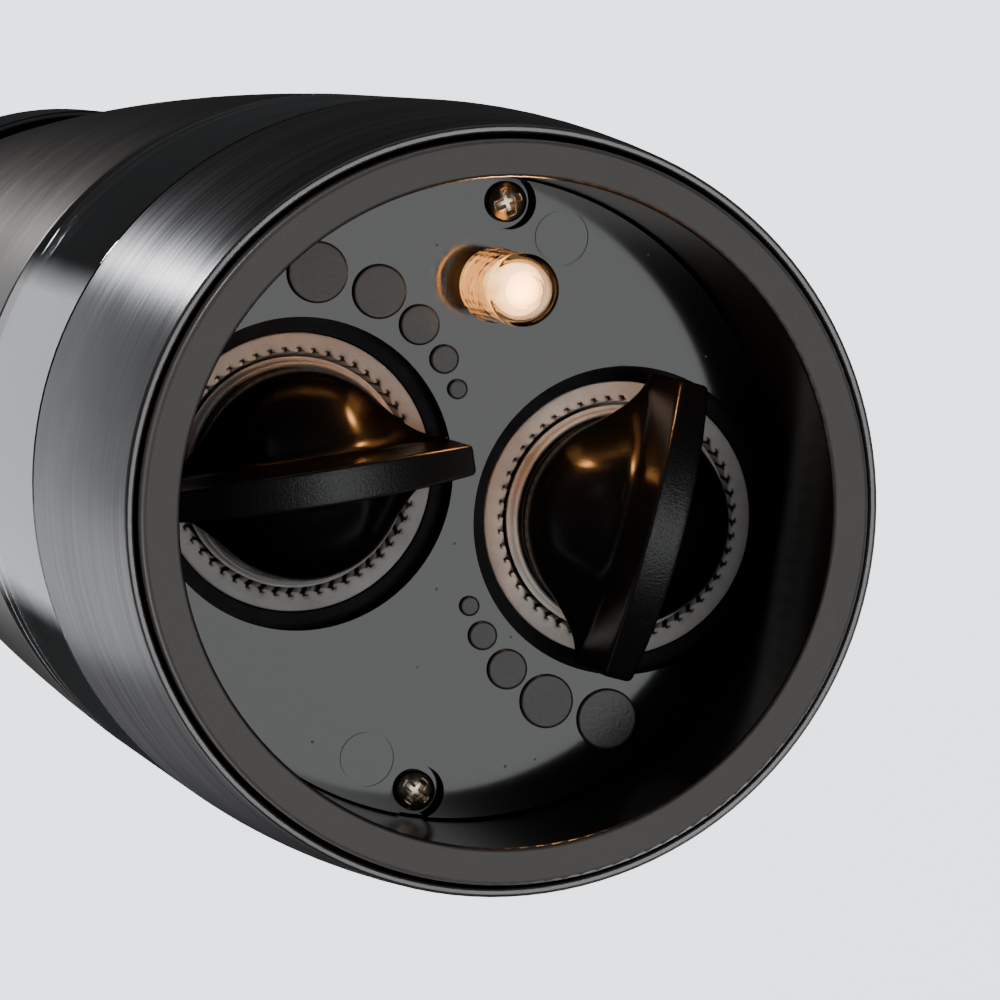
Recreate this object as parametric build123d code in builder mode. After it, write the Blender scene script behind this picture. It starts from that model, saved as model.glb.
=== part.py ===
"""Twin electric salt and pepper mill: one lit grinder base, a clear two-part chamber and a motor head.

Millimetres, +Z up. The origin is the centre of the foot rim that the mill stands on. The two grinders
stand side by side on the X axis, and the lamp lies towards -Y. Each piece is one node in parts/.
"""
import os
from build123d import *

os.makedirs("parts", exist_ok=True)

# ---- Driving dimensions ---------------------------------------------------------------------------
# Base: foot ring, brushed collar and grinder plate
foot_d = 63.0              # outside of the rim that the mill stands on
foot_wall = 3.2            # width of the rim's flat face
foot_grip = 11.0           # how far the ring reaches up around the core
foot_round = 0.35
recess_depth = 17.0        # rim plane up to the grinder plate
collar_gap = 0.4           # dark line between the foot ring and the collar
collar_start = 1.4         # lower edge of the collar above the rim plane
collar_wall = 0.8
edge_round = 0.3           # rounding of the thin sleeves' lower edges
collar_bulge = 0.45        # how far the collar's side swells past a straight taper
body_d = 68.8              # widest place, at the chamber
plate_thick = 2.0
plate_clearance = 0.2
flange_clearance = 0.3     # core's flange inside the collar

# Grinders
grinder_x = 14.7           # each grinder's axis, left and right of the middle
well_r = 13.6              # opening in the plate around each grinder
stator_r = 12.15
stator_height = 10.0
stator_mouth_r = 10.45
stator_throat_r = 8.3
stator_grooves = 52
stator_round = 0.3
groove_depth = 0.45
groove_width = 0.55
groove_height = 2.4
burr_gap = 0.4             # between the two ceramic cones at the mouth
rotor_drop = 0.2           # rotor face under the stator face, at the finest setting
rotor_height = 10.6
rotor_top_r = 6.0
rotor_band = 2.4           # plain band at the rotor's mouth
rotor_band_taper = 0.45
rotor_flutes = 9
flute_r = 1.7
flute_start = 3.0          # flutes begin this far behind the rotor's face
notch_count = 4            # locating notches in the stator's outer edge
notch_pitch = 14.0         # degrees between them
notch_middle = 90.0        # degrees from +X
notch_r = 0.5
seat_clearance = 0.1       # fixed pieces in their pockets
running_clearance = 0.05   # turning and sliding fits, on the radius

# Drive shafts
shaft_r = 2.5
shaft_square = 3.4
thread_r = 1.75
shaft_flange_r = 3.4
shaft_flange_thick = 0.7
bush_wall = 1.2
bush_length = 4.2
bush_lift = 2.2            # stator's top to the bush
hub_wall = 1.3
spring_room = 5.0          # pocket behind the rotor for its spring
spring_side_gap = 0.25     # spring coil to the pocket's side
spring_end_gap = 0.05
clip_r = 4.4
clip_thick = 0.7
clip_gap = 0.15
clip_groove = 0.5          # depth of the groove that the clip snaps into
clip_slot = 2.4
shaft_chamfer = 0.4
thread_chamfer = 0.3
spring_wire_r = 0.28
spring_pitch = 1.5
spring_pocket_r = 4.1

# Adjusting knobs
dome_r = 9.2
dome_reach = 6.6           # how far the dome stands below the plate
dome_skirt = 0.9           # straight edge of the dome below the plate's face
dome_mid_r = 0.72          # dome's outline, as shares of its radius and height
dome_mid_z = 0.38
dome_wall = 2.6            # knob left below the end of the thread
fin_reach = 12.6           # how far the middle of the fin stands below the plate
fin_arch = 3.2             # middle of the fin's face below its ends
fin_half_length = 13.2
fin_thick = 2.6
fin_root_half = 6.4        # half the thickness of the dome where it flares into the fin
left_fin_angle = -17.0     # degrees from +X, at rest
right_fin_angle = -84.0
thread_end_gap = 0.8       # knob's bore past the end of the thread
knob_gap = 0.1             # knob face to rotor face

# Plate details
dot_radii = (2.5, 2.2, 1.6, 1.1, 0.7)
dot_angles = (86.0, 105.0, 120.5, 133.5, 143.8)   # about the right grinder, degrees from +X
dot_clear = 1.4            # from the well's edge to each dot's nearest point
dot_height = 0.35
screw_y = 26.0
screw_well_r = 2.4
screw_well_depth = 1.4
screw_head_r = 1.8
screw_shank_r = 1.0
screw_length = 8.0
cross_width = 0.5
cross_length = 2.3
cross_depth = 0.8
screw_head_round = 0.45
screw_sink = 0.1           # screw head behind the plate's face
screw_hole_gap = 0.2
screw_tip_gap = 0.5
mark_r = 2.5               # two faint round moulding marks
mark_place_r = 24.2
mark_angle = 78.0          # degrees from +X
mark_depth = 0.12
mark_line = 0.25

# Lamp
lamp_y = -18.7
lamp_r = 3.2
lamp_wall = 0.6
lamp_reach = 9.9           # how far the lamp stands below the plate
lamp_flange_r = 3.7
lamp_flange_thick = 0.9
lamp_round = 0.8
led_tip_gap = 0.5
led_leg = 0.5              # side of its square legs
led_rim = 0.6
led_leg_length = 3.0
led_clearance = 0.12
wire_r = 0.4
wire_spacing = 1.3
channel_r = 1.4
contact_r = 0.85
contact_spacing = 2.2
contact_thick = 0.4
lamp_pin_r = 0.6
lamp_pin_gap = 0.1
lamp_pin_end = 1.0         # pins past the head's floor

# Core and hopper floor
core_height = 18.2         # back of the plate to the floor of the spice chamber
level_gap = 0.3            # between pieces stacked without pressing on each other
hopper_r = 8.7
hopper_mouth_r = 12.6
hopper_slope = 3.2
spider_arms = 3
spider_arm_width = 2.2
spider_root = 0.8          # arms run this far into the hub and the wall
spider_height = 4.0

# Chamber
gasket_thick = 0.4
chamber_height = 34.8
chamber_wall = 2.4
chamber_spigot = 4.2
divider_thick = 2.4
boss_wall = 1.4            # wall around the lamp's wires in the divider
spigot_step = 0.1
spigot_root = 1.6          # spigot's overlap with the chamber's wall
head_socket_depth = 5.9    # room above the divider for the head's spigot
chamber_round = 0.5
spigot_wall = 1.8
spigot_gap = 0.2           # below and above the chamber's spigot
seal_recess = 0.15         # gasket edge inside the body's side
seal_overlap = 0.2

# Head
head_gap = 0.4             # dark line between chamber and head
head_height = 132.0
head_top_d = 58.6
head_wall = 0.9
head_swell = 1.0           # how far the head's side swells past a straight taper
head_clearance = 0.3
head_floor_thick = 6.2
head_step = 0.1
coupler_r = 3.9
coupler_recess = 2.2       # coupler's mouth inside the head's spigot
socket_end_gap = 0.6
square_lead = 1.0          # square of the shaft below the coupler
socket_clearance = 0.05

# Gear train: output wheel, idler pinion, idler wheel and motor pinion
gear_module = 0.6
output_teeth = 28
idler_pinion_teeth = 12
idler_wheel_teeth = 30
motor_pinion_teeth = 10
gear_face = 3.6
gear_gap = 0.6
gear_backlash = 0.1        # added to the centre distance
gear_root = 1.25           # tooth shape, in modules
gear_tip = 0.85
gear_root_half = 0.95
gear_tip_half = 0.36
gear_root_sink = 0.15
pinion_overhang = 0.2
gear_pin_r = 1.0
gear_pin_depth = 3.0
motor_plate_gap = 0.8
motor_plate_thick = 2.4
post_r = 2.6
post_ring_r = 28.0
post_angles = (90.0, 215.0, 325.0)
post_screw_r = 1.0
post_screw_head_r = 2.0
motor_screw_spacing = 16.0
motor_screw_depth = 2.0
motor_screw_head = 0.7
frame_screw_head = 1.2
frame_screw_depth = 5.0
screw_end_gap = 0.2

# Motors
motor_r = 12.2
motor_length = 30.8
motor_boss_r = 3.4
motor_boss_height = 1.8
motor_shaft_r = 1.0
motor_tail_r = 4.0
motor_tail_height = 1.6
motor_round = 0.8
motor_bore = 4.0           # depth of the shaft's bore in the can
motor_shaft_grip = 3.0
terminal_spacing = 16.0
terminal_width = 2.4
terminal_thick = 0.5

# Batteries: four AA cells in a ring
cell_r = 7.1
cell_length = 49.2
cell_nub_r = 2.6
cell_nub_height = 1.0
cell_round = 0.7
cell_clearance = 0.35
cell_count = 4
cell_ring_r = 10.8
cage_disc_r = 19.4
cage_disc_thick = 2.4
cage_end_room = 2.6        # for a spring at one end of each cell
cage_rib = 2.0             # cross-shaped spine between the cells
tab_thick = 0.4
tab_side = 8.0
top_tab_length = 6.0
top_tab_width = 5.0
cage_spring_r = 3.0
cage_spring_pitch = 0.85
sleeve_wall = 1.5
sleeve_clearance = 0.6
sleeve_floor = 2.4
cage_lift_room = 5.5       # sleeve above the cage
sleeve_gap = 0.4           # motor tails to the sleeve
cage_gap = 0.2
sleeve_lip = 2.0
leg_r = 2.4                # legs that carry the sleeve over the motors
leg_y = 25.0
leg_gap = 0.1

# Cap, board and buttons
cap_gap = 0.4
cap_height = 20.8
cap_overhang = 1.4         # cap past the head's top edge
cap_wall = 2.0
cap_spigot_depth = 9.0
cap_clearance = 0.3
cap_round = 2.2            # rounding of the cap's top edge
cap_edge = 1.2             # rounding of its lower edge
cap_post_ring_r = 19.0
cap_post_r = 2.2
button_x = 12.5
button_r = 8.0
button_rise = 1.6
button_travel = 1.5
button_clearance = 0.3
button_gap = 0.1
button_flange = 1.0
button_flange_thick = 1.2
button_stem_r = 2.0
button_stem = 12.0         # button stem under the flange
button_dish = 0.8
button_dish_mid_r = 0.45   # dish's outline, as shares of its radius and depth
button_dish_mid_z = 0.75
button_round = 1.2
button_spring_r = 4.9
button_spring_pitch = 2.4
board_r = 22.0
board_thick = 1.6
board_screw_head = 1.2
board_screw_depth = 4.0
switch_side = 6.0
switch_height = 3.5
plunger_r = 1.6
plunger_height = 0.8
contact_reach = 6.0        # leaf contacts, out from the middle
contact_width = 4.0
leaf_thick = 0.4
leaf_foot = 3.4            # length of each leaf's foot on the cage's tab
leaf_gap = 0.1

# ---- Levels and radii that follow ------------------------------------------------------------------
foot_r = foot_d / 2
foot_bore_r = foot_r - foot_wall
plate_r = foot_bore_r - plate_clearance
body_r = body_d / 2
core_bottom = recess_depth + plate_thick
core_floor = core_bottom + core_height
collar_top = core_floor
core_r = foot_bore_r - plate_clearance
foot_top = core_bottom + foot_grip
flange_bottom = foot_top + level_gap
flange_top = collar_top - collar_wall - spigot_gap
collar_foot_r = foot_r + collar_gap + collar_wall
stator_top = core_bottom + stator_height
rotor_face = core_bottom + rotor_drop
rotor_top = rotor_face + rotor_height
rotor_mouth_r = stator_mouth_r - burr_gap
bush_bottom = stator_top + bush_lift
bush_top = bush_bottom + bush_length
spider_bottom = bush_bottom + (bush_length - spider_height) / 2
clip_bottom = bush_top + clip_gap
hub_bore_r = shaft_r + running_clearance + bush_wall + seat_clearance / 2
hub_r = hub_bore_r + hub_wall
shaft_flange_bottom = bush_bottom - shaft_flange_thick
spring_pocket_floor = shaft_flange_bottom - spring_room
knob_face = rotor_face - knob_gap
fin_bottom = recess_depth - fin_reach
fin_top = recess_depth - dome_skirt
dome_bottom = recess_depth - dome_reach
thread_end = dome_bottom + dome_wall
lamp_tip = recess_depth - lamp_reach
lamp_seat = core_bottom + running_clearance
led_r = lamp_r - lamp_wall - led_clearance
led_tip = lamp_tip + lamp_wall + led_tip_gap
led_base = lamp_seat + lamp_flange_thick + led_rim
wire_start = lamp_seat + lamp_flange_thick + led_leg_length
chamber_bottom = core_floor + gasket_thick
chamber_top = chamber_bottom + chamber_height
chamber_bore_r = body_r - chamber_wall
spigot_outer_r = chamber_bore_r + spigot_step
spigot_inner_r = spigot_outer_r - spigot_wall
spigot_bottom = chamber_bottom - chamber_spigot
divider_top = chamber_top - head_socket_depth
head_bottom = chamber_top + head_gap
head_top = head_bottom + head_height
head_top_r = head_top_d / 2
head_spigot_bottom = divider_top + contact_thick + level_gap
head_floor_top = head_bottom + head_floor_thick
coupler_bottom = head_spigot_bottom + coupler_recess
shaft_top = head_floor_top - socket_end_gap
shaft_square_bottom = coupler_bottom - square_lead
output_gear_bottom = head_floor_top + gear_gap
idler_wheel_bottom = output_gear_bottom + gear_face + gear_gap
motor_plate_bottom = idler_wheel_bottom + gear_face + gear_gap + motor_plate_gap
motor_bottom = motor_plate_bottom + motor_plate_thick
motor_top = motor_bottom + motor_length
gear_distance = gear_module * (output_teeth + idler_pinion_teeth) / 2 + gear_backlash
sleeve_bottom = motor_top + motor_tail_height + sleeve_gap
sleeve_bore_r = cage_disc_r + sleeve_clearance
cage_bottom = sleeve_bottom + sleeve_floor + cage_gap
cell_bottom = cage_bottom + cage_disc_thick + cage_end_room
cage_top = cell_bottom + cell_length + cell_nub_height + tab_thick + cage_disc_thick
sleeve_top = cage_top + cage_lift_room
cap_bottom = head_top + cap_gap
cap_top = cap_bottom + cap_height
cap_r = head_top_r + cap_overhang
cap_ceiling = cap_top - cap_wall
button_top = cap_top + button_rise
button_flange_top = cap_ceiling - button_gap
stem_end = button_flange_top - button_flange_thick - button_stem
board_top = stem_end - button_travel - button_gap - plunger_height - switch_height
board_bottom = board_top - board_thick
sides = (("left", -grinder_x), ("right", grinder_x))


def profile_plane(x=0.0, y=0.0):
    """Upright plane for a turned profile: local x is the radius and local y is the height."""
    return Plane(origin=(x, y, 0), x_dir=(1, 0, 0), z_dir=(0, -1, 0))


def fin_plane(x, angle):
    """Upright plane along a knob's fin: local x runs along the fin and local y is the height."""
    along = Vector(1, 0, 0).rotate(Axis.Z, angle)
    return Plane(origin=(x, 0, 0), x_dir=along, z_dir=along.cross(Vector(0, 0, 1)))


def upright(x=0.0, y=0.0):
    """Vertical axis through (x, y)."""
    return Axis((x, y, 0), (0, 0, 1))


def swelling_radius(z, low, high, swell):
    """Radius at height z between two (radius, height) ends: a straight taper with a parabolic swell."""
    share = (z - low[1]) / (high[1] - low[1])
    return low[0] + (high[0] - low[0]) * share + 4 * swell * share * (1 - share)


def collar_radius(z):
    """Outside radius of the collar at height z."""
    return swelling_radius(z, (collar_foot_r, collar_start), (body_r, collar_top), collar_bulge)


def head_radius(z):
    """Outside radius of the head at height z."""
    return swelling_radius(z, (body_r, head_bottom), (head_top_r, head_top), head_swell)


def sleeve_lines(radius_at, bottom, top, wall):
    """Add the outline of a thin swelling sleeve, outside and inside, to the line in hand."""
    middle = (bottom + top) / 2
    outer = ThreePointArc((radius_at(bottom), bottom), (radius_at(middle), middle), (radius_at(top), top))
    inner = ThreePointArc(
        (radius_at(bottom) - wall, bottom), (radius_at(middle) - wall, middle), (radius_at(top) - wall, top)
    )
    Line(outer @ 0, inner @ 0)
    Line(outer @ 1, inner @ 1)


def save(builder, label):
    """Label a finished piece and write its STEP file."""
    builder.part.label = label
    export_step(builder.part, f"parts/{label}.step")


def wheel_outline(teeth, start_angle=0.0):
    """Add a spur wheel to the sketch in hand: a root disc and flat-sided teeth, thinned for backlash."""
    pitch_r = gear_module * teeth / 2
    root = gear_root * gear_module
    tip = gear_tip * gear_module
    Circle(pitch_r - root)
    with PolarLocations(pitch_r, teeth, start_angle=start_angle):
        Polygon(
            (-root - gear_root_sink, -gear_root_half * gear_module),
            (tip, -gear_tip_half * gear_module),
            (tip, gear_tip_half * gear_module),
            (-root - gear_root_sink, gear_root_half * gear_module),
            align=None,
        )


# ---- Base -------------------------------------------------------------------------------------------
with BuildPart() as foot_ring:
    with BuildSketch(profile_plane()) as ring_section:
        with Locations((foot_r - foot_wall / 2, foot_top / 2)):
            Rectangle(foot_wall, foot_top)
    revolve(axis=Axis.Z)
    fillet(foot_ring.edges().group_by(Axis.Z)[0], radius=foot_round)
save(foot_ring, "foot_ring")

with BuildPart() as base_collar:
    with BuildSketch(profile_plane()) as collar_section:
        with BuildLine():
            sleeve_lines(collar_radius, collar_start, collar_top, collar_wall)
        make_face()
        fillet(collar_section.vertices().group_by(Axis.Y)[0], radius=edge_round)
        with Locations(((spigot_outer_r + seal_overlap + body_r) / 2, collar_top - collar_wall / 2)):
            Rectangle(body_r - spigot_outer_r - seal_overlap, collar_wall)
    revolve(axis=Axis.Z)
save(base_collar, "base_collar")

with BuildPart() as grinder_plate:
    with BuildSketch(Plane.XY.offset(recess_depth)):
        Circle(plate_r)
        with Locations((-grinder_x, 0), (grinder_x, 0)):
            Circle(well_r, mode=Mode.SUBTRACT)
        with Locations((0, lamp_y)):
            Circle(lamp_r + seat_clearance, mode=Mode.SUBTRACT)
        with Locations((0, -screw_y), (0, screw_y)):
            Circle(screw_shank_r + screw_hole_gap, mode=Mode.SUBTRACT)
    extrude(amount=plate_thick)
    with BuildSketch(Plane.XY.offset(recess_depth)):
        with Locations((0, -screw_y), (0, screw_y)):
            Circle(screw_well_r)
    extrude(amount=screw_well_depth, mode=Mode.SUBTRACT)
    with BuildSketch(Plane.XY.offset(recess_depth)):
        for turn in (0.0, 180.0):
            with PolarLocations(mark_place_r, 1, start_angle=turn - mark_angle):
                Circle(mark_r)
                Circle(mark_r - mark_line, mode=Mode.SUBTRACT)
    extrude(amount=mark_depth, mode=Mode.SUBTRACT)
    with BuildSketch(Plane.XY.offset(recess_depth - dot_height)):
        for turn in (0.0, 180.0):
            centre = Vector(grinder_x, 0).rotate(Axis.Z, turn)
            for dot_r, angle in zip(dot_radii, dot_angles):
                place = centre + Vector(well_r + dot_clear + dot_r, 0).rotate(Axis.Z, turn + angle)
                with Locations((place.X, place.Y)):
                    Circle(dot_r)
    extrude(amount=dot_height)
save(grinder_plate, "grinder_plate")

with BuildPart() as plate_screws:
    head_bottom_z = recess_depth + screw_sink
    head_top_z = recess_depth + screw_well_depth
    with BuildSketch(Plane.XY.offset(head_bottom_z)):
        with Locations((0, -screw_y), (0, screw_y)):
            Circle(screw_head_r)
    extrude(amount=head_top_z - head_bottom_z)
    fillet(plate_screws.edges().group_by(Axis.Z)[0], radius=screw_head_round)
    with BuildSketch(Plane.XY.offset(head_top_z)):
        with Locations((0, -screw_y), (0, screw_y)):
            Circle(screw_shank_r)
    extrude(amount=screw_length)
    with BuildSketch(Plane.XY.offset(head_bottom_z)):
        with Locations((0, -screw_y), (0, screw_y)):
            Rectangle(cross_length, cross_width)
            Rectangle(cross_width, cross_length)
    extrude(amount=cross_depth, mode=Mode.SUBTRACT)
save(plate_screws, "plate_screws")

with BuildPart() as mill_core:
    with BuildSketch(profile_plane()):
        with BuildLine():
            Polyline(
                (0, core_bottom),
                (core_r, core_bottom),
                (core_r, flange_bottom),
                (collar_radius(flange_bottom) - collar_wall - flange_clearance, flange_bottom),
                (collar_radius(flange_top) - collar_wall - flange_clearance, flange_top),
                (spigot_outer_r + seat_clearance, flange_top),
                (spigot_outer_r + seat_clearance, spigot_bottom - spigot_gap),
                (spigot_inner_r - seat_clearance, spigot_bottom - spigot_gap),
                (spigot_inner_r - seat_clearance, core_floor),
                (0, core_floor),
                close=True,
            )
        make_face()
    revolve(axis=Axis.Z)
    for side, x in sides:
        with BuildSketch(Plane.XY.offset(core_bottom)):
            with Locations((x, 0)):
                Circle(stator_r + seat_clearance)
        extrude(amount=stator_height, mode=Mode.SUBTRACT)
        with BuildSketch(Plane.XY.offset(core_bottom)):
            with Locations((x, 0)):
                Circle(hopper_r)
        extrude(amount=core_floor - core_bottom, mode=Mode.SUBTRACT)
        with BuildSketch(profile_plane(x)):
            with BuildLine():
                Polyline(
                    (0, core_floor - hopper_slope),
                    (hopper_r, core_floor - hopper_slope),
                    (hopper_mouth_r, core_floor),
                    (hopper_mouth_r, core_floor + 1),
                    (0, core_floor + 1),
                    close=True,
                )
            make_face()
        revolve(axis=upright(x), mode=Mode.SUBTRACT)
        with BuildSketch(Plane.XY.offset(spider_bottom)):
            with Locations((x, 0)):
                Circle(hub_r)
                for turn in range(spider_arms):
                    with PolarLocations((hub_r + hopper_r) / 2, 1, start_angle=90 + turn * 360 / spider_arms):
                        Rectangle(hopper_r - hub_r + 2 * spider_root, spider_arm_width)
                Circle(hub_bore_r, mode=Mode.SUBTRACT)
        extrude(amount=spider_height)
    with BuildSketch(Plane.XY.offset(core_bottom)):
        with Locations((0, -screw_y), (0, screw_y)):
            Circle(screw_shank_r + running_clearance)
    extrude(amount=screw_length - plate_thick + screw_well_depth + screw_tip_gap, mode=Mode.SUBTRACT)
    with BuildSketch(Plane.XY.offset(core_bottom)):
        with Locations((0, lamp_y)):
            Circle(lamp_flange_r + seat_clearance)
    extrude(amount=wire_start + lamp_flange_thick - core_bottom, mode=Mode.SUBTRACT)
    with BuildSketch(Plane.XY.offset(core_bottom)):
        with Locations((0, lamp_y)):
            Circle(channel_r)
    extrude(amount=core_floor - core_bottom, mode=Mode.SUBTRACT)
save(mill_core, "mill_core")

# ---- Lamp -------------------------------------------------------------------------------------------
with BuildPart() as lamp_lens:
    with BuildSketch(Plane.XY.offset(lamp_tip)):
        with Locations((0, lamp_y)):
            Circle(lamp_r)
    extrude(amount=lamp_seat - lamp_tip)
    fillet(lamp_lens.edges().group_by(Axis.Z)[0], radius=lamp_round)
    with BuildSketch(Plane.XY.offset(lamp_seat)):
        with Locations((0, lamp_y)):
            Circle(lamp_flange_r)
    extrude(amount=lamp_flange_thick)
    with BuildSketch(Plane.XY.offset(lamp_tip + lamp_wall)):
        with Locations((0, lamp_y)):
            Circle(lamp_r - lamp_wall)
    extrude(amount=lamp_seat + lamp_flange_thick - lamp_tip - lamp_wall, mode=Mode.SUBTRACT)
save(lamp_lens, "lamp_lens")

with BuildPart() as lamp_led:
    with BuildSketch(profile_plane(0, lamp_y)):
        with BuildLine():
            dome = RadiusArc((0, led_tip), (led_r, led_tip + led_r), -led_r)
            Polyline(
                dome @ 1,
                (led_r, led_base),
                (0, led_base),
                dome @ 0,
            )
        make_face()
    revolve(axis=upright(0, lamp_y))
    with BuildSketch(Plane.XY.offset(led_base)):
        with Locations((-wire_spacing / 2, lamp_y), (wire_spacing / 2, lamp_y)):
            Rectangle(led_leg, led_leg)
    extrude(amount=wire_start - led_base)
save(lamp_led, "lamp_led")

with BuildPart() as lamp_wires:
    with BuildSketch(Plane.XY.offset(wire_start)):
        with Locations((-wire_spacing / 2, lamp_y), (wire_spacing / 2, lamp_y)):
            Circle(wire_r)
    extrude(amount=divider_top - wire_start)
save(lamp_wires, "lamp_wires")

with BuildPart() as lamp_contacts:
    with BuildSketch(Plane.XY.offset(divider_top)):
        with Locations((-contact_spacing / 2, lamp_y), (contact_spacing / 2, lamp_y)):
            Circle(contact_r)
    extrude(amount=contact_thick)
save(lamp_contacts, "lamp_contacts")

# ---- Chamber ----------------------------------------------------------------------------------------
with BuildPart() as chamber_gasket:
    with BuildSketch(Plane.XY.offset(core_floor)):
        Circle(body_r - seal_recess)
        Circle(spigot_outer_r + level_gap, mode=Mode.SUBTRACT)
    extrude(amount=gasket_thick)
save(chamber_gasket, "chamber_gasket")

with BuildPart() as chamber:
    with BuildSketch(Plane.XY.offset(chamber_bottom)):
        Circle(body_r)
        Circle(chamber_bore_r, mode=Mode.SUBTRACT)
    extrude(amount=chamber_height)
    fillet(chamber.edges().filter_by(GeomType.CIRCLE).sort_by(SortBy.RADIUS)[-2:], radius=chamber_round)
    with BuildSketch(Plane.XY.offset(spigot_bottom)):
        Circle(spigot_outer_r)
        Circle(spigot_inner_r, mode=Mode.SUBTRACT)
    extrude(amount=chamber_spigot + spigot_root)
    with BuildSketch(Plane.XY.offset(core_floor + seat_clearance)):
        Rectangle(divider_thick, 2 * chamber_bore_r)
        with Locations((0, lamp_y)):
            Circle(channel_r + boss_wall)
        with Locations((0, lamp_y)):
            Circle(channel_r, mode=Mode.SUBTRACT)
    extrude(amount=divider_top - core_floor - seat_clearance)
save(chamber, "chamber")

# ---- Grinders ---------------------------------------------------------------------------------------
for side, x in sides:
    with BuildPart() as stator:
        with BuildSketch(profile_plane(x)):
            with BuildLine():
                Polyline(
                    (stator_mouth_r, core_bottom),
                    (stator_r, core_bottom),
                    (stator_r, stator_top),
                    (stator_throat_r, stator_top),
                    close=True,
                )
            make_face()
        revolve(axis=upright(x))
        fillet(stator.edges().filter_by(GeomType.CIRCLE).sort_by(SortBy.RADIUS)[-2:], radius=stator_round)
        with BuildSketch(Plane((x, 0, core_bottom))):
            with PolarLocations(stator_mouth_r - groove_depth, stator_grooves):
                Rectangle(4 * groove_depth, groove_width)
            for number in range(notch_count):
                turn = notch_middle + (number - (notch_count - 1) / 2) * notch_pitch
                with PolarLocations(stator_r, 1, start_angle=-turn):
                    Circle(notch_r)
        extrude(amount=groove_height, mode=Mode.SUBTRACT)
    save(stator, f"{side}_stator")

    with BuildPart() as rotor:
        with BuildSketch(profile_plane(x)):
            with BuildLine():
                Polyline(
                    (0, rotor_face),
                    (rotor_mouth_r, rotor_face),
                    (rotor_mouth_r - rotor_band_taper, rotor_face + rotor_band),
                    (rotor_top_r, rotor_top),
                    (0, rotor_top),
                    close=True,
                )
            make_face()
        revolve(axis=upright(x))
        with BuildSketch(Plane((x, 0, rotor_face + flute_start))):
            with PolarLocations(rotor_mouth_r, rotor_flutes):
                Circle(flute_r)
        extrude(amount=rotor_height, mode=Mode.SUBTRACT)
        with BuildSketch(Plane((x, 0, spring_pocket_floor))):
            Circle(spring_pocket_r)
        extrude(amount=rotor_height, mode=Mode.SUBTRACT)
        with BuildSketch(Plane((x, 0, rotor_face))):
            Rectangle(shaft_square + 2 * running_clearance, shaft_square + 2 * running_clearance)
        extrude(amount=rotor_height, mode=Mode.SUBTRACT)
    save(rotor, f"{side}_rotor")

    with BuildPart() as bush:
        with BuildSketch(Plane((x, 0, bush_bottom))):
            Circle(shaft_r + running_clearance + bush_wall)
            Circle(shaft_r + running_clearance, mode=Mode.SUBTRACT)
        extrude(amount=bush_length)
    save(bush, f"{side}_bush")

    with BuildPart() as shaft:
        with BuildSketch(Plane((x, 0, thread_end))):
            Circle(thread_r)
        extrude(amount=rotor_face + level_gap - thread_end)
        chamfer(shaft.edges().group_by(Axis.Z)[0], length=thread_chamfer)
        with BuildSketch(Plane((x, 0, rotor_face + level_gap))):
            Rectangle(shaft_square, shaft_square)
        extrude(amount=shaft_flange_bottom - rotor_face - level_gap)
        with BuildSketch(Plane((x, 0, shaft_flange_bottom))):
            Circle(shaft_flange_r)
        extrude(amount=shaft_flange_thick - running_clearance)
        with BuildSketch(Plane((x, 0, shaft_flange_bottom))):
            Circle(shaft_r)
        extrude(amount=shaft_square_bottom - shaft_flange_bottom)
        with BuildSketch(Plane((x, 0, shaft_square_bottom))):
            Rectangle(shaft_square, shaft_square)
        extrude(amount=shaft_top - shaft_square_bottom)
        chamfer(shaft.edges().group_by(Axis.Z)[-1], length=shaft_chamfer)
        with BuildSketch(Plane((x, 0, clip_bottom))):
            Circle(shaft_r + seat_clearance)
            Circle(shaft_r - clip_groove, mode=Mode.SUBTRACT)
        extrude(amount=clip_thick + 2 * running_clearance, mode=Mode.SUBTRACT)
    save(shaft, f"{side}_shaft")

    with BuildPart() as clip:
        with BuildSketch(Plane((x, 0, clip_bottom + running_clearance))):
            Circle(clip_r)
            Circle(shaft_r - clip_groove + running_clearance, mode=Mode.SUBTRACT)
            with Locations((0, clip_r)):
                Rectangle(clip_slot, 2 * clip_r, mode=Mode.SUBTRACT)
        extrude(amount=clip_thick)
    save(clip, f"{side}_clip")

    with BuildPart() as spring:
        coil_r = spring_pocket_r - spring_wire_r - spring_side_gap
        coil_start = spring_pocket_floor + spring_wire_r + spring_end_gap
        with BuildLine() as coil:
            Helix(
                pitch=spring_pitch,
                height=shaft_flange_bottom - coil_start - spring_wire_r - 2 * spring_end_gap,
                radius=coil_r,
                center=(x, 0, coil_start),
            )
        with BuildSketch(Plane(origin=coil.line @ 0, z_dir=coil.line % 0)):
            Circle(spring_wire_r)
        sweep()
    save(spring, f"{side}_spring")

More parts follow.
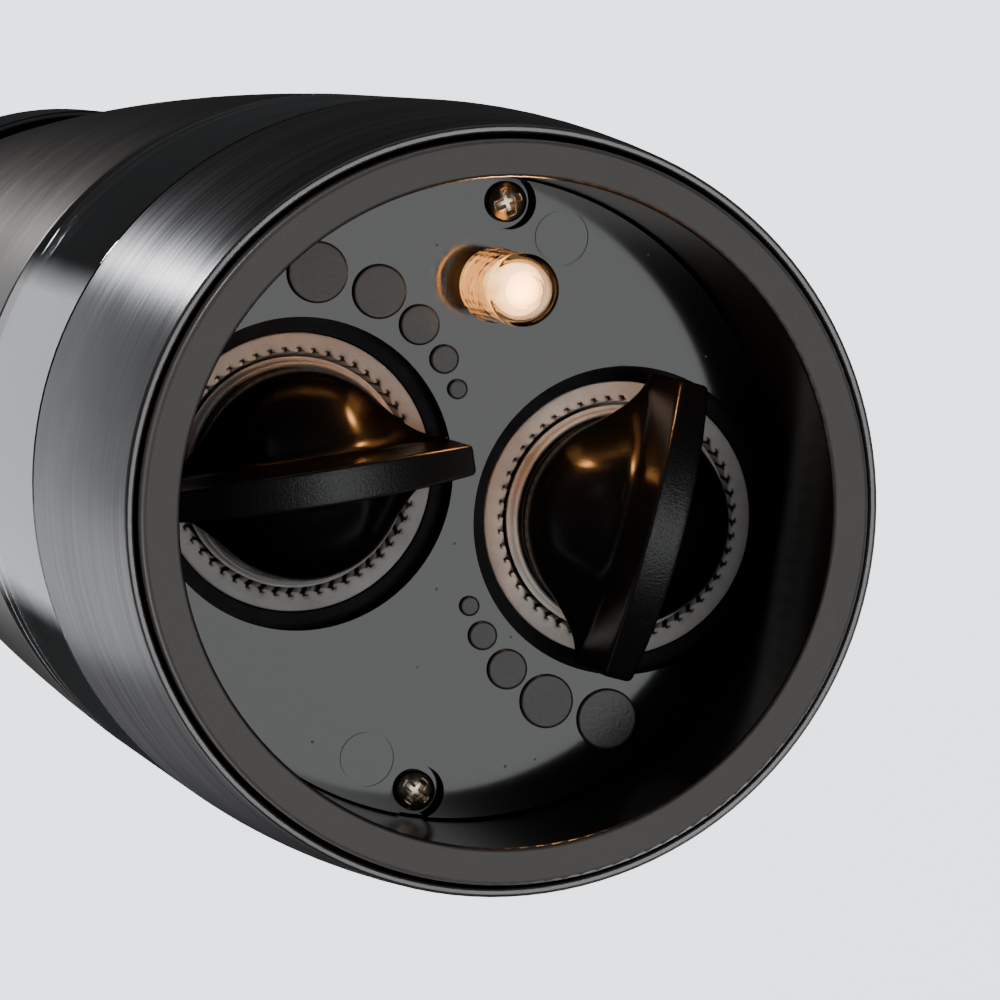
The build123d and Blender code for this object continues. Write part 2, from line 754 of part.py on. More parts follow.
# ---- Adjusting knobs --------------------------------------------------------------------------------
dome_mid_height = dome_bottom + dome_mid_z * (dome_reach - dome_skirt)
for (side, x), fin_angle in zip(sides, (left_fin_angle, right_fin_angle)):
    with BuildPart() as knob:
        with BuildSketch(profile_plane(x)):
            with BuildLine():
                Line((0, knob_face), (dome_r, knob_face))
                Line((dome_r, knob_face), (dome_r, fin_top))
                ThreePointArc((dome_r, fin_top), (dome_mid_r * dome_r, dome_mid_height), (0, dome_bottom))
                Line((0, dome_bottom), (0, knob_face))
            make_face()
        revolve(axis=upright(x))
        with BuildSketch(fin_plane(x, fin_angle)):
            with BuildLine():
                ThreePointArc(
                    (-fin_half_length, fin_bottom + fin_arch),
                    (0, fin_bottom),
                    (fin_half_length, fin_bottom + fin_arch),
                )
                Polyline(
                    (fin_half_length, fin_bottom + fin_arch),
                    (fin_half_length, fin_top),
                    (-fin_half_length, fin_top),
                    (-fin_half_length, fin_bottom + fin_arch),
                )
            make_face()
        extrude(amount=fin_thick / 2, both=True)
        with BuildSketch(Plane((x, 0, dome_mid_height))):
            with Locations(Rotation(0, 0, fin_angle)):
                Polygon(
                    (0, fin_root_half),
                    (fin_half_length - fin_thick, fin_thick / 2),
                    (fin_half_length - fin_thick, -fin_thick / 2),
                    (0, -fin_root_half),
                    (fin_thick - fin_half_length, -fin_thick / 2),
                    (fin_thick - fin_half_length, fin_thick / 2),
                    align=None,
                )
        extrude(amount=fin_top - dome_mid_height)
        with BuildSketch(Plane((x, 0, thread_end - thread_end_gap))):
            Circle(thread_r + running_clearance)
        extrude(amount=knob_face - thread_end + thread_end_gap, mode=Mode.SUBTRACT)
    save(knob, f"{side}_knob")

# ---- Head: shell, floor and gears -------------------------------------------------------------------
with BuildPart() as head_shell:
    with BuildSketch(profile_plane()) as shell_section:
        with BuildLine():
            sleeve_lines(head_radius, head_bottom, head_top, head_wall)
        make_face()
        fillet(shell_section.vertices().group_by(Axis.Y)[0], radius=edge_round)
    revolve(axis=Axis.Z)
save(head_shell, "head_shell")

floor_r = min(body_r, head_radius(head_floor_top)) - head_wall - seat_clearance
with BuildPart() as head_floor:
    with BuildSketch(Plane.XY.offset(head_spigot_bottom)):
        Circle(chamber_bore_r - head_clearance)
    extrude(amount=head_bottom + head_step - head_spigot_bottom)
    with BuildSketch(Plane.XY.offset(head_bottom + head_step)):
        Circle(floor_r)
    extrude(amount=head_floor_top - head_bottom - head_step)
    with BuildSketch(Plane.XY.offset(head_floor_top)):
        for angle in post_angles:
            with PolarLocations(post_ring_r, 1, start_angle=angle):
                Circle(post_r)
                Circle(post_screw_r, mode=Mode.SUBTRACT)
    extrude(amount=motor_plate_bottom - head_floor_top)
    with BuildSketch(Plane.XY.offset(head_spigot_bottom)):
        with Locations((-grinder_x, 0), (grinder_x, 0)):
            Circle(coupler_r + running_clearance)
        with Locations((-contact_spacing / 2, lamp_y), (contact_spacing / 2, lamp_y)):
            Circle(lamp_pin_r + running_clearance)
    extrude(amount=head_floor_top - head_spigot_bottom, mode=Mode.SUBTRACT)
    with BuildSketch(Plane.XY.offset(head_floor_top - gear_pin_depth)):
        with Locations((-grinder_x, gear_distance), (grinder_x, gear_distance)):
            Circle(gear_pin_r)
    extrude(amount=gear_pin_depth, mode=Mode.SUBTRACT)
save(head_floor, "head_floor")

with BuildPart() as lamp_pins:
    pin_bottom = divider_top + contact_thick + lamp_pin_gap
    with BuildSketch(Plane.XY.offset(pin_bottom)):
        with Locations((-contact_spacing / 2, lamp_y), (contact_spacing / 2, lamp_y)):
            Circle(lamp_pin_r)
    extrude(amount=head_floor_top + lamp_pin_end - pin_bottom)
save(lamp_pins, "lamp_pins")

with BuildPart() as gear_pins:
    with BuildSketch(Plane.XY.offset(head_floor_top - gear_pin_depth)):
        with Locations((-grinder_x, gear_distance), (grinder_x, gear_distance)):
            Circle(gear_pin_r)
    extrude(amount=motor_plate_bottom + motor_plate_thick / 2 - head_floor_top + gear_pin_depth)
save(gear_pins, "gear_pins")

for side, x in sides:
    with BuildPart() as output_coupler:
        with BuildSketch(Plane((x, 0, coupler_bottom))):
            Circle(coupler_r)
        extrude(amount=output_gear_bottom - coupler_bottom)
        with BuildSketch(Plane((x, 0, output_gear_bottom))):
            wheel_outline(output_teeth)
        extrude(amount=gear_face)
        with BuildSketch(Plane((x, 0, coupler_bottom))):
            Rectangle(shaft_square + 2 * socket_clearance, shaft_square + 2 * socket_clearance)
        extrude(amount=shaft_top + socket_end_gap - coupler_bottom, mode=Mode.SUBTRACT)
    save(output_coupler, f"{side}_output_coupler")

    with BuildPart() as idler_gear:
        with BuildSketch(Plane((x, gear_distance, output_gear_bottom))):
            wheel_outline(idler_pinion_teeth, start_angle=180 / idler_pinion_teeth)
        extrude(amount=gear_face + gear_gap)
        with BuildSketch(Plane((x, gear_distance, idler_wheel_bottom))):
            wheel_outline(idler_wheel_teeth)
        extrude(amount=gear_face)
        with BuildSketch(Plane((x, gear_distance, output_gear_bottom))):
            Circle(gear_pin_r + running_clearance)
        extrude(amount=2 * gear_face + gear_gap, mode=Mode.SUBTRACT)
    save(idler_gear, f"{side}_idler_gear")

    with BuildPart() as motor_pinion:
        with BuildSketch(Plane((x, 0, idler_wheel_bottom - pinion_overhang))):
            wheel_outline(motor_pinion_teeth, start_angle=180 / motor_pinion_teeth)
            Circle(motor_shaft_r, mode=Mode.SUBTRACT)
        extrude(amount=gear_face + 2 * pinion_overhang)
    save(motor_pinion, f"{side}_motor_pinion")

    with BuildPart() as motor_shaft:
        with BuildSketch(Plane((x, 0, idler_wheel_bottom - pinion_overhang))):
            Circle(motor_shaft_r)
        extrude(amount=motor_bottom + motor_shaft_grip - idler_wheel_bottom)
    save(motor_shaft, f"{side}_motor_shaft")

    with BuildPart() as motor:
        with BuildSketch(Plane((x, 0, motor_bottom))):
            Circle(motor_r)
        extrude(amount=motor_length)
        fillet(motor.edges(), radius=motor_round)
        with BuildSketch(Plane((x, 0, motor_bottom - motor_boss_height))):
            Circle(motor_boss_r)
        extrude(amount=motor_boss_height)
        with BuildSketch(Plane((x, 0, motor_top))):
            Circle(motor_tail_r)
        extrude(amount=motor_tail_height)
        with BuildSketch(Plane((x, 0, motor_top))):
            with GridLocations(1, terminal_spacing, 1, 2):
                Rectangle(terminal_width, terminal_thick)
        extrude(amount=motor_tail_height)
        with BuildSketch(Plane((x, 0, motor_bottom - motor_boss_height))):
            Circle(motor_shaft_r + running_clearance)
        extrude(amount=motor_boss_height + motor_bore, mode=Mode.SUBTRACT)
        with BuildSketch(Plane((x, 0, motor_bottom))):
            with GridLocations(motor_screw_spacing, 1, 2, 1):
                Circle(post_screw_r)
        extrude(amount=motor_screw_depth, mode=Mode.SUBTRACT)
    save(motor, f"{side}_motor")

# ---- Head: motor plate and fasteners ----------------------------------------------------------------
plate_outer_r = min(head_radius(motor_plate_bottom), head_radius(motor_bottom)) - head_wall - head_clearance
with BuildPart() as motor_plate:
    with BuildSketch(Plane.XY.offset(motor_plate_bottom)):
        Circle(plate_outer_r)
        with Locations((-grinder_x, 0), (grinder_x, 0)):
            Circle(motor_boss_r + seat_clearance, mode=Mode.SUBTRACT)
            with GridLocations(motor_screw_spacing, 1, 2, 1):
                Circle(post_screw_r + seat_clearance, mode=Mode.SUBTRACT)
        with Locations((-grinder_x, gear_distance), (grinder_x, gear_distance)):
            Circle(gear_pin_r, mode=Mode.SUBTRACT)
        for angle in post_angles:
            with PolarLocations(post_ring_r, 1, start_angle=angle):
                Circle(post_screw_r + seat_clearance, mode=Mode.SUBTRACT)
    extrude(amount=motor_plate_thick)
save(motor_plate, "motor_plate")

with BuildPart() as motor_screws:
    with BuildSketch(Plane.XY.offset(motor_plate_bottom)):
        with Locations((-grinder_x, 0), (grinder_x, 0)):
            with GridLocations(motor_screw_spacing, 1, 2, 1):
                Circle(post_screw_r)
    extrude(amount=motor_plate_thick + motor_screw_depth - screw_end_gap)
    with BuildSketch(Plane.XY.offset(motor_plate_bottom)):
        with Locations((-grinder_x, 0), (grinder_x, 0)):
            with GridLocations(motor_screw_spacing, 1, 2, 1):
                Circle(post_screw_head_r)
    extrude(amount=-motor_screw_head)
save(motor_screws, "motor_screws")

with BuildPart() as frame_screws:
    with BuildSketch(Plane.XY.offset(motor_bottom)):
        for angle in post_angles:
            with PolarLocations(post_ring_r, 1, start_angle=angle):
                Circle(post_screw_head_r)
    extrude(amount=frame_screw_head)
    with BuildSketch(Plane.XY.offset(motor_bottom)):
        for angle in post_angles:
            with PolarLocations(post_ring_r, 1, start_angle=angle):
                Circle(post_screw_r)
    extrude(amount=-motor_plate_thick - frame_screw_depth)
    with BuildSketch(Plane.XY.offset(motor_bottom + frame_screw_head)):
        for angle in post_angles:
            with PolarLocations(post_ring_r, 1, start_angle=angle):
                Rectangle(cross_length, cross_width)
                Rectangle(cross_width, cross_length)
    extrude(amount=-cross_depth, mode=Mode.SUBTRACT)
save(frame_screws, "frame_screws")

# ---- Head: batteries --------------------------------------------------------------------------------
sleeve_r = sleeve_bore_r + sleeve_wall
floor_rim_r = min(head_radius(sleeve_bottom), head_radius(sleeve_bottom + sleeve_floor)) - head_wall - head_clearance
lip_r = min(head_radius(sleeve_top), head_radius(sleeve_top - sleeve_lip)) - head_wall - head_clearance
with BuildPart() as battery_sleeve:
    with BuildSketch(Plane.XY.offset(sleeve_bottom)):
        Circle(floor_rim_r)
    extrude(amount=sleeve_floor)
    with BuildSketch(Plane.XY.offset(sleeve_bottom)):
        Circle(sleeve_r)
    extrude(amount=sleeve_top - sleeve_bottom)
    with BuildSketch(Plane.XY.offset(sleeve_top - sleeve_lip)):
        Circle(lip_r)
    extrude(amount=sleeve_lip)
    with BuildSketch(Plane.XY.offset(sleeve_bottom + sleeve_floor)):
        Circle(sleeve_bore_r)
    extrude(amount=sleeve_top - sleeve_bottom, mode=Mode.SUBTRACT)
    with BuildSketch(Plane.XY.offset(motor_bottom + leg_gap)):
        with Locations((0, -leg_y), (0, leg_y - 2 * post_r)):
            Circle(leg_r)
    extrude(amount=sleeve_bottom - motor_bottom - leg_gap)
save(battery_sleeve, "battery_sleeve")

with BuildPart() as battery_cage:
    with BuildSketch(Plane.XY.offset(cage_bottom)):
        Circle(cage_disc_r)
    extrude(amount=cage_disc_thick)
    with BuildSketch(Plane.XY.offset(cage_top - cage_disc_thick)):
        Circle(cage_disc_r)
    extrude(amount=cage_disc_thick)
    with BuildSketch(Plane.XY.offset(cage_bottom)):
        with Locations(Rotation(0, 0, 180 / cell_count)):
            with PolarLocations(0, cell_count):
                with Locations((cage_disc_r / 2, 0)):
                    Rectangle(cage_disc_r, cage_rib)
        with PolarLocations(cell_ring_r, cell_count):
            Circle(cell_r + cell_clearance, mode=Mode.SUBTRACT)
        Circle(cage_disc_r, mode=Mode.INTERSECT)
    extrude(amount=cage_top - cage_bottom)
save(battery_cage, "battery_cage")

cell_places = PolarLocations(cell_ring_r, cell_count)
for number, place in enumerate(cell_places, start=1):
    spot = (place.position.X, place.position.Y)
    with BuildPart() as cell:
        with BuildSketch(Plane((*spot, cell_bottom))):
            Circle(cell_r)
        extrude(amount=cell_length)
        fillet(cell.edges(), radius=cell_round)
        with BuildSketch(Plane((*spot, cell_bottom + cell_length))):
            Circle(cell_nub_r)
        extrude(amount=cell_nub_height)
    save(cell, f"cell_{number}")

with BuildPart() as cage_tabs:
    with BuildSketch(Plane.XY.offset(cage_top - cage_disc_thick - tab_thick)):
        with PolarLocations(cell_ring_r, cell_count):
            Rectangle(tab_side, tab_side)
    extrude(amount=tab_thick)
    with BuildSketch(Plane.XY.offset(cage_bottom + cage_disc_thick)):
        with PolarLocations(cell_ring_r, cell_count):
            Rectangle(tab_side, tab_side)
    extrude(amount=tab_thick)
    with BuildSketch(Plane.XY.offset(cage_top)):
        with Locations((-contact_reach, 0), (contact_reach, 0)):
            Rectangle(top_tab_length, top_tab_width)
    extrude(amount=tab_thick)
save(cage_tabs, "cage_tabs")

with BuildPart() as cage_springs:
    spring_start = cage_bottom + cage_disc_thick + tab_thick + spring_wire_r
    for place in cell_places:
        with BuildLine() as coil:
            Helix(
                pitch=cage_spring_pitch,
                height=cell_bottom - spring_start - spring_wire_r - spring_end_gap,
                radius=cage_spring_r,
                center=(place.position.X, place.position.Y, spring_start),
            )
        with BuildSketch(Plane(origin=coil.line @ 0, z_dir=coil.line % 0)):
            Circle(spring_wire_r)
        sweep()
save(cage_springs, "cage_springs")

# ---- Cap, board and buttons -------------------------------------------------------------------------
cap_spigot_r = head_top_r - head_wall - cap_clearance
cap_posts = PolarLocations(cap_post_ring_r, 4, start_angle=45)
with BuildPart() as top_cap:
    with BuildSketch(profile_plane()):
        with BuildLine():
            side_line = Line((cap_r, cap_bottom), (cap_r, cap_top - cap_round))
            shoulder = RadiusArc(side_line @ 1, (cap_r - cap_round, cap_top), -cap_round)
            Polyline(
                shoulder @ 1,
                (0, cap_top),
                (0, cap_ceiling),
                (cap_spigot_r - cap_wall, cap_ceiling),
                (cap_spigot_r - cap_wall, cap_bottom - cap_spigot_depth),
                (cap_spigot_r, cap_bottom - cap_spigot_depth),
                (cap_spigot_r, cap_bottom),
                side_line @ 0,
            )
        make_face()
    revolve(axis=Axis.Z)
    lower_rings = top_cap.edges().filter_by_position(Axis.Z, cap_bottom, cap_bottom)
    fillet(lower_rings.filter_by(GeomType.CIRCLE).sort_by(SortBy.RADIUS)[-1], radius=cap_edge)
    with BuildSketch(Plane.XY.offset(cap_ceiling)):
        with Locations((-button_x, 0), (button_x, 0)):
            Circle(button_r + button_clearance)
    extrude(amount=cap_wall, mode=Mode.SUBTRACT)
    with BuildSketch(Plane.XY.offset(cap_ceiling)):
        with cap_posts:
            Circle(cap_post_r)
            Circle(post_screw_r, mode=Mode.SUBTRACT)
    extrude(amount=board_top - cap_ceiling)
save(top_cap, "top_cap")

with BuildPart() as switch_board:
    with BuildSketch(Plane.XY.offset(board_bottom)):
        Circle(board_r)
        with cap_posts:
            Circle(post_screw_r + seat_clearance, mode=Mode.SUBTRACT)
    extrude(amount=board_thick)
save(switch_board, "switch_board")

with BuildPart() as board_screws:
    with BuildSketch(Plane.XY.offset(board_bottom)):
        with cap_posts:
            Circle(post_screw_head_r)
    extrude(amount=-board_screw_head)
    with BuildSketch(Plane.XY.offset(board_bottom)):
        with cap_posts:
            Circle(post_screw_r)
    extrude(amount=board_thick + board_screw_depth)
save(board_screws, "board_screws")

with BuildPart() as cap_contacts:
    with BuildSketch(Plane.XZ.offset(-contact_width / 2)):
        leaf_outer = contact_reach + leaf_foot / 2
        leaf_inner = contact_reach - leaf_foot / 2
        foot_z = cage_top + tab_thick + leaf_gap
        for sign in (-1, 1):
            with BuildLine():
                Polyline(
                    (sign * (leaf_outer - leaf_thick), board_bottom),
                    (sign * leaf_outer, board_bottom),
                    (sign * leaf_outer, foot_z + leaf_thick),
                    (sign * leaf_inner, foot_z),
                    (sign * leaf_inner, foot_z + leaf_thick),
                    (sign * (leaf_outer - leaf_thick), foot_z + 2 * leaf_thick),
                    close=True,
                )
            make_face()
    extrude(amount=contact_width)
save(cap_contacts, "cap_contacts")

with BuildPart() as tact_switches:
    with BuildSketch(Plane.XY.offset(board_top)):
        with Locations((-button_x, 0), (button_x, 0)):
            Rectangle(switch_side, switch_side)
    extrude(amount=switch_height)
    with BuildSketch(Plane.XY.offset(board_top + switch_height)):
        with Locations((-button_x, 0), (button_x, 0)):
            Circle(plunger_r)
    extrude(amount=plunger_height)
save(tact_switches, "tact_switches")

for side, sign in (("left", -1), ("right", 1)):
    x = sign * button_x
    with BuildPart() as button:
        with BuildSketch(profile_plane(x)):
            with BuildLine():
                crown = ThreePointArc(
                    (0, button_top - button_dish),
                    (button_r * button_dish_mid_r, button_top - button_dish * button_dish_mid_z),
                    (button_r - button_round, button_top),
                )
                edge = RadiusArc(crown @ 1, (button_r, button_top - button_round), button_round)
                Polyline(
                    edge @ 1,
                    (button_r, button_flange_top),
                    (button_r + button_flange, button_flange_top),
                    (button_r + button_flange, button_flange_top - button_flange_thick),
                    (button_stem_r, button_flange_top - button_flange_thick),
                    (button_stem_r, stem_end),
                    (0, stem_end),
                    crown @ 0,
                )
            make_face()
        revolve(axis=upright(x))
    save(button, f"{side}_button")

    with BuildPart() as button_spring:
        lower = board_top + switch_height + spring_wire_r + 2 * spring_end_gap
        with BuildLine() as coil:
            Helix(
                pitch=button_spring_pitch,
                height=button_flange_top - button_flange_thick - spring_wire_r - spring_end_gap - lower,
                radius=button_spring_r,
                center=(x, 0, lower),
            )
        with BuildSketch(Plane(origin=coil.line @ 0, z_dir=coil.line % 0)):
            Circle(spring_wire_r)
        sweep()
    save(button_spring, f"{side}_button_spring")
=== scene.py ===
"""Looks of the battery-powered salt and pepper mill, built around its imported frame."""

import logging
import math
from dataclasses import dataclass
from enum import Enum
from typing import Any, Optional, Sequence, Union

import bmesh
import bpy
import numpy as np
from mathutils import Matrix, Vector


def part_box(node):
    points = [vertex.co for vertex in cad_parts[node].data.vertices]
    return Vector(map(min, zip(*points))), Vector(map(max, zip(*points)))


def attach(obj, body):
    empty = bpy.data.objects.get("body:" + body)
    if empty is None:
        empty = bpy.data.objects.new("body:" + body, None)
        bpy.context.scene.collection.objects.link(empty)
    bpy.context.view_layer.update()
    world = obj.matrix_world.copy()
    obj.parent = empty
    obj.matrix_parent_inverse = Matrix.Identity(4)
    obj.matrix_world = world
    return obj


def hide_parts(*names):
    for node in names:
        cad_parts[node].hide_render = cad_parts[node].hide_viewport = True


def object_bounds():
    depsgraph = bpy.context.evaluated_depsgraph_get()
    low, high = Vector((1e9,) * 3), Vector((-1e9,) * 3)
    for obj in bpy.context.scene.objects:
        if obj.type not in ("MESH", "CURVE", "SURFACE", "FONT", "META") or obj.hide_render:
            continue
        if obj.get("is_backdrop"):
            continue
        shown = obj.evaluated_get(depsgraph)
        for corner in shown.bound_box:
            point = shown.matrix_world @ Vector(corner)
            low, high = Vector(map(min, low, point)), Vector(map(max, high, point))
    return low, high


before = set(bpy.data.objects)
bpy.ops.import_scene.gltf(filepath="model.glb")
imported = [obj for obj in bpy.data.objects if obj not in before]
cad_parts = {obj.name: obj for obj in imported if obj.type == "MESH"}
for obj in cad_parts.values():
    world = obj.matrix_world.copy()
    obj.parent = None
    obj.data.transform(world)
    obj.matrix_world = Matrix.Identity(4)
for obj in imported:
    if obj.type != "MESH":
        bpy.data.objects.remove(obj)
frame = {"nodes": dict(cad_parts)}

MM = 0.001
Triple = tuple[float, float, float]
Rgb = Triple
Place = tuple[float, float]
Number = Union[float, "Wire"]
BLACK: Rgb = (0.0, 0.0, 0.0)
log = logging.getLogger("mill")


# Shader maths


class Wire:
    """One output socket. Arithmetic on it adds the Math nodes that work it out."""

    def __init__(self, bench: "Bench", socket: bpy.types.NodeSocket) -> None:
        """Keeps the socket and the bench that holds its node."""
        self.bench = bench
        self.socket = socket

    def __add__(self, other: Number) -> "Wire":
        """self + other."""
        return self.bench.maths("ADD", self, other)

    __radd__ = __add__

    def __mul__(self, other: Number) -> "Wire":
        """self * other."""
        return self.bench.maths("MULTIPLY", self, other)

    __rmul__ = __mul__

    def __sub__(self, other: Number) -> "Wire":
        """self - other."""
        return self.bench.maths("SUBTRACT", self, other)

    def __rsub__(self, other: Number) -> "Wire":
        """other - self."""
        return self.bench.maths("SUBTRACT", other, self)

    def __truediv__(self, other: Number) -> "Wire":
        """self / other."""
        return self.bench.maths("DIVIDE", self, other)

    def __pow__(self, other: Number) -> "Wire":
        """self ** other."""
        return self.bench.maths("POWER", self, other)

    def ramp(self, low: float, high: float, start: float = 0.0, end: float = 1.0) -> "Wire":
        """Smooth step.

        Args:
            low: value at which the step begins.
            high: value at which it is over.
            start: result below low.
            end: result above high.

        Returns:
            The stepped value.
        """
        inputs = {"Value": self, "From Min": low, "From Max": high, "To Min": start, "To Max": end}
        return self.bench.add("ShaderNodeMapRange", {"interpolation_type": "SMOOTHSTEP"}, inputs)["Result"]


class Placed:
    """A node that has been added to a bench."""

    def __init__(self, bench: "Bench", node: bpy.types.Node) -> None:
        """Keeps the node and its bench."""
        self.bench = bench
        self.node = node

    def __getitem__(self, name: Union[str, int]) -> Wire:
        """The node's output of that name or number."""
        return Wire(self.bench, self.node.outputs[name])


class Bench:
    """A node tree and the one way in which nodes are added to it."""

    def __init__(self, tree: bpy.types.NodeTree) -> None:
        """Takes over the tree and empties it."""
        self.tree = tree
        tree.nodes.clear()

    def add(
        self,
        kind: str,
        settings: Optional[dict[str, Any]] = None,
        inputs: Optional[dict[Any, Any]] = None,
    ) -> Placed:
        """Adds a node.

        Args:
            kind: the node's type.
            settings: its properties, set before its sockets.
            inputs: a value or a Wire for each socket, by name or number.

        Returns:
            The node.
        """
        node = self.tree.nodes.new(kind)
        for name, value in (settings or {}).items():
            setattr(node, name, value)
        for name, value in (inputs or {}).items():
            socket = node.inputs[name]
            if isinstance(value, Wire):
                self.tree.links.new(value.socket, socket)
            elif isinstance(value, tuple) and len(value) == 3 and socket.type == "RGBA":
                socket.default_value = (*value, 1.0)
            else:
                socket.default_value = value
        return Placed(self, node)

    def maths(self, operation: str, first: Number, second: Number = 0.0) -> Wire:
        """The result of a Math node's operation on one or two values."""
        return self.add("ShaderNodeMath", {"operation": operation}, {0: first, 1: second})["Value"]

    def blend(self, share: Number, first: Union[Rgb, Wire], second: Union[Rgb, Wire]) -> Wire:
        """Colour that goes from first to second as share goes from 0 to 1."""
        return self.add("ShaderNodeMix", {"data_type": "RGBA"}, {0: share, 6: first, 7: second})[2]

    def place(self) -> Wire:
        """The point's place on the object, in metres."""
        return self.add("ShaderNodeTexCoord")["Object"]

    def axes(self, vector: Wire) -> tuple[Wire, Wire, Wire]:
        """The three parts of a vector."""
        parts = self.add("ShaderNodeSeparateXYZ", {}, {"Vector": vector})
        return parts["X"], parts["Y"], parts["Z"]

    def stretch(self, vector: Wire, by: Triple) -> Wire:
        """The vector with each part multiplied by its own number."""
        return self.add("ShaderNodeVectorMath", {"operation": "MULTIPLY"}, {0: vector, 1: by})["Vector"]

    def noise(self, vector: Wire, scale: float, detail: float = 3.0, roughness: float = 0.55) -> Wire:
        """Cloudy noise around 0.5 whose features are 1 / scale metres across."""
        inputs = {"Vector": vector, "Scale": scale, "Detail": detail, "Roughness": roughness}
        return self.add("ShaderNodeTexNoise", {}, inputs)["Fac"]

    def specks(self, vector: Wire, scale: float, size: float) -> Wire:
        """Round specks, 1 inside and 0 outside, in cells 1 / scale metres across."""
        away = self.add("ShaderNodeTexVoronoi", {}, {"Vector": vector, "Scale": scale})["Distance"]
        return away.ramp(size * 0.6, size, 1.0, 0.0)

    def bump(self, height: Wire, depth: float, strength: float = 1.0) -> Wire:
        """Normal for a surface whose height runs over depth metres."""
        inputs = {"Height": height, "Distance": depth, "Strength": strength}
        return self.add("ShaderNodeBump", {}, inputs)["Normal"]

    def surface(self, inputs: dict[str, Any]) -> Wire:
        """The shader of a Principled node with these inputs."""
        return self.add("ShaderNodeBsdfPrincipled", {}, inputs)["BSDF"]


# Finishes


class Lay(Enum):
    """Which way a metal's brush marks run."""

    AROUND = (9.0, 9.0, 2600.0)
    ALONG = (1500.0, 1500.0, 12.0)
    CLOUDY = (420.0, 420.0, 420.0)


class Finish:
    """What every finish can do: make its material once."""

    name: str

    def build(self, bench: Bench) -> Wire:
        """Adds the finish's nodes and returns its shader."""
        raise NotImplementedError

    def material(self) -> bpy.types.Material:
        """The finish's material, made the first time it is asked for."""
        made = bpy.data.materials.get("finish_" + self.name)
        if made is None:
            made = bpy.data.materials.new("finish_" + self.name)
            made.use_nodes = True
            bench = Bench(made.node_tree)
            shader = self.build(bench)
            bench.add("ShaderNodeOutputMaterial", {}, {"Surface": shader})
        return made


@dataclass(frozen=True)
class Moulded(Finish):
    """Moulded plastic or rubber with a fine grain, faint clouds in its colour and rubbed patches."""

    name: str
    colour: Rgb
    roughness: float = 0.35
    grain: float = 3500.0
    depth: float = 0.00003
    level: float = 0.5

    def build(self, bench: Bench) -> Wire:
        """Colour drifts by a tenth, roughness by a quarter, and the grain is a bump."""
        place = bench.place()
        clouds = bench.noise(place, 90.0)
        light = tuple(min(1.0, part * 1.25 + 0.004) for part in self.colour)
        dark = tuple(part * 0.8 for part in self.colour)
        rough = bench.noise(place, 260.0, 5.0) * (self.roughness * 0.5) + self.roughness * 0.75
        grain = bench.noise(place, self.grain, 2.0)
        inputs = {
            "Base Color": bench.blend(clouds.ramp(0.3, 0.7), dark, light),
            "Roughness": rough,
            "Specular IOR Level": self.level,
            "Normal": bench.bump(grain, self.depth),
        }
        return bench.surface(inputs)


@dataclass(frozen=True)
class Metal(Finish):
    """Metal with brush marks that run one way, and broader bands that follow them."""

    name: str
    colour: Rgb
    roughness: float = 0.3
    lay: Lay = Lay.CLOUDY
    depth: float = 0.00002
    smudge: float = 0.25
    drawn: float = 0.0

    def build(self, bench: Bench) -> Wire:
        """Fine and coarse noise, both stretched along the lay, move colour, roughness and height."""
        place = bench.place()
        fine = bench.noise(bench.stretch(place, self.lay.value), 1.0, 3.0, 0.7)
        broad = bench.noise(bench.stretch(place, tuple(part * 0.12 for part in self.lay.value)), 1.0, 2.0)
        smear = bench.noise(place, 70.0, 4.0)
        marks = fine * 0.65 + broad * 0.35
        dark = tuple(part * (1 - self.smudge) for part in self.colour)
        light = tuple(min(1.0, part * (1 + self.smudge * 0.6)) for part in self.colour)
        rough = marks * (self.roughness * 0.7) + smear * (self.roughness * 0.35) + self.roughness * 0.48
        inputs = {
            "Base Color": bench.blend(marks.ramp(0.35, 0.65), dark, light),
            "Metallic": 1.0,
            "Anisotropic": self.drawn,
            "Anisotropic Rotation": 0.25,
            "Roughness": rough,
            "Normal": bench.bump(marks, self.depth),
        }
        return bench.surface(inputs)


@dataclass(frozen=True)
class RimPlastic(Finish):
    """The foot's plastic: a satin, finely grained rim, and polished inside the bore, whose wall is also
    painted near black as shade.
    """

    name: str
    colour: Rgb
    bore_r: float
    # polished black plastic, painted near black as shade so the recess wall shows little lamp light
    bore: Rgb = (0.004, 0.004, 0.004)
    satin: float = 0.36
    polish: float = 0.17

    def build(self, bench: Bench) -> Wire:
        """The mask is 1 outside the bore's radius and 0 on its wall, which is near black: black plastic
        painted darker still as shade.
        """
        place = bench.place()
        across, deep, _ = bench.axes(place)
        radius = (across * across + deep * deep) ** 0.5
        rim = radius.ramp((self.bore_r + 0.05) * MM, (self.bore_r + 0.35) * MM)
        grain = bench.noise(place, 5200.0, 2.0)
        clouds = bench.noise(place, 110.0, 4.0)
        scuffs = bench.noise(bench.stretch(place, (900.0, 900.0, 900.0)), 1.0, 6.0, 0.75)
        light = tuple(part * 1.3 for part in self.colour)
        worn = (clouds * 0.6 + scuffs * 0.4).ramp(0.35, 0.7)
        rough = rim * (self.satin - self.polish) + self.polish + (scuffs * 0.12 - 0.05) * rim
        inputs = {
            # on the bore's wall the colour is the painted-shade near black
            "Base Color": bench.blend(rim, self.bore, bench.blend(worn * 0.3, self.colour, light)),
            "Roughness": rough,
            "Normal": bench.bump(grain * rim, 0.00002),
        }
        return bench.surface(inputs)


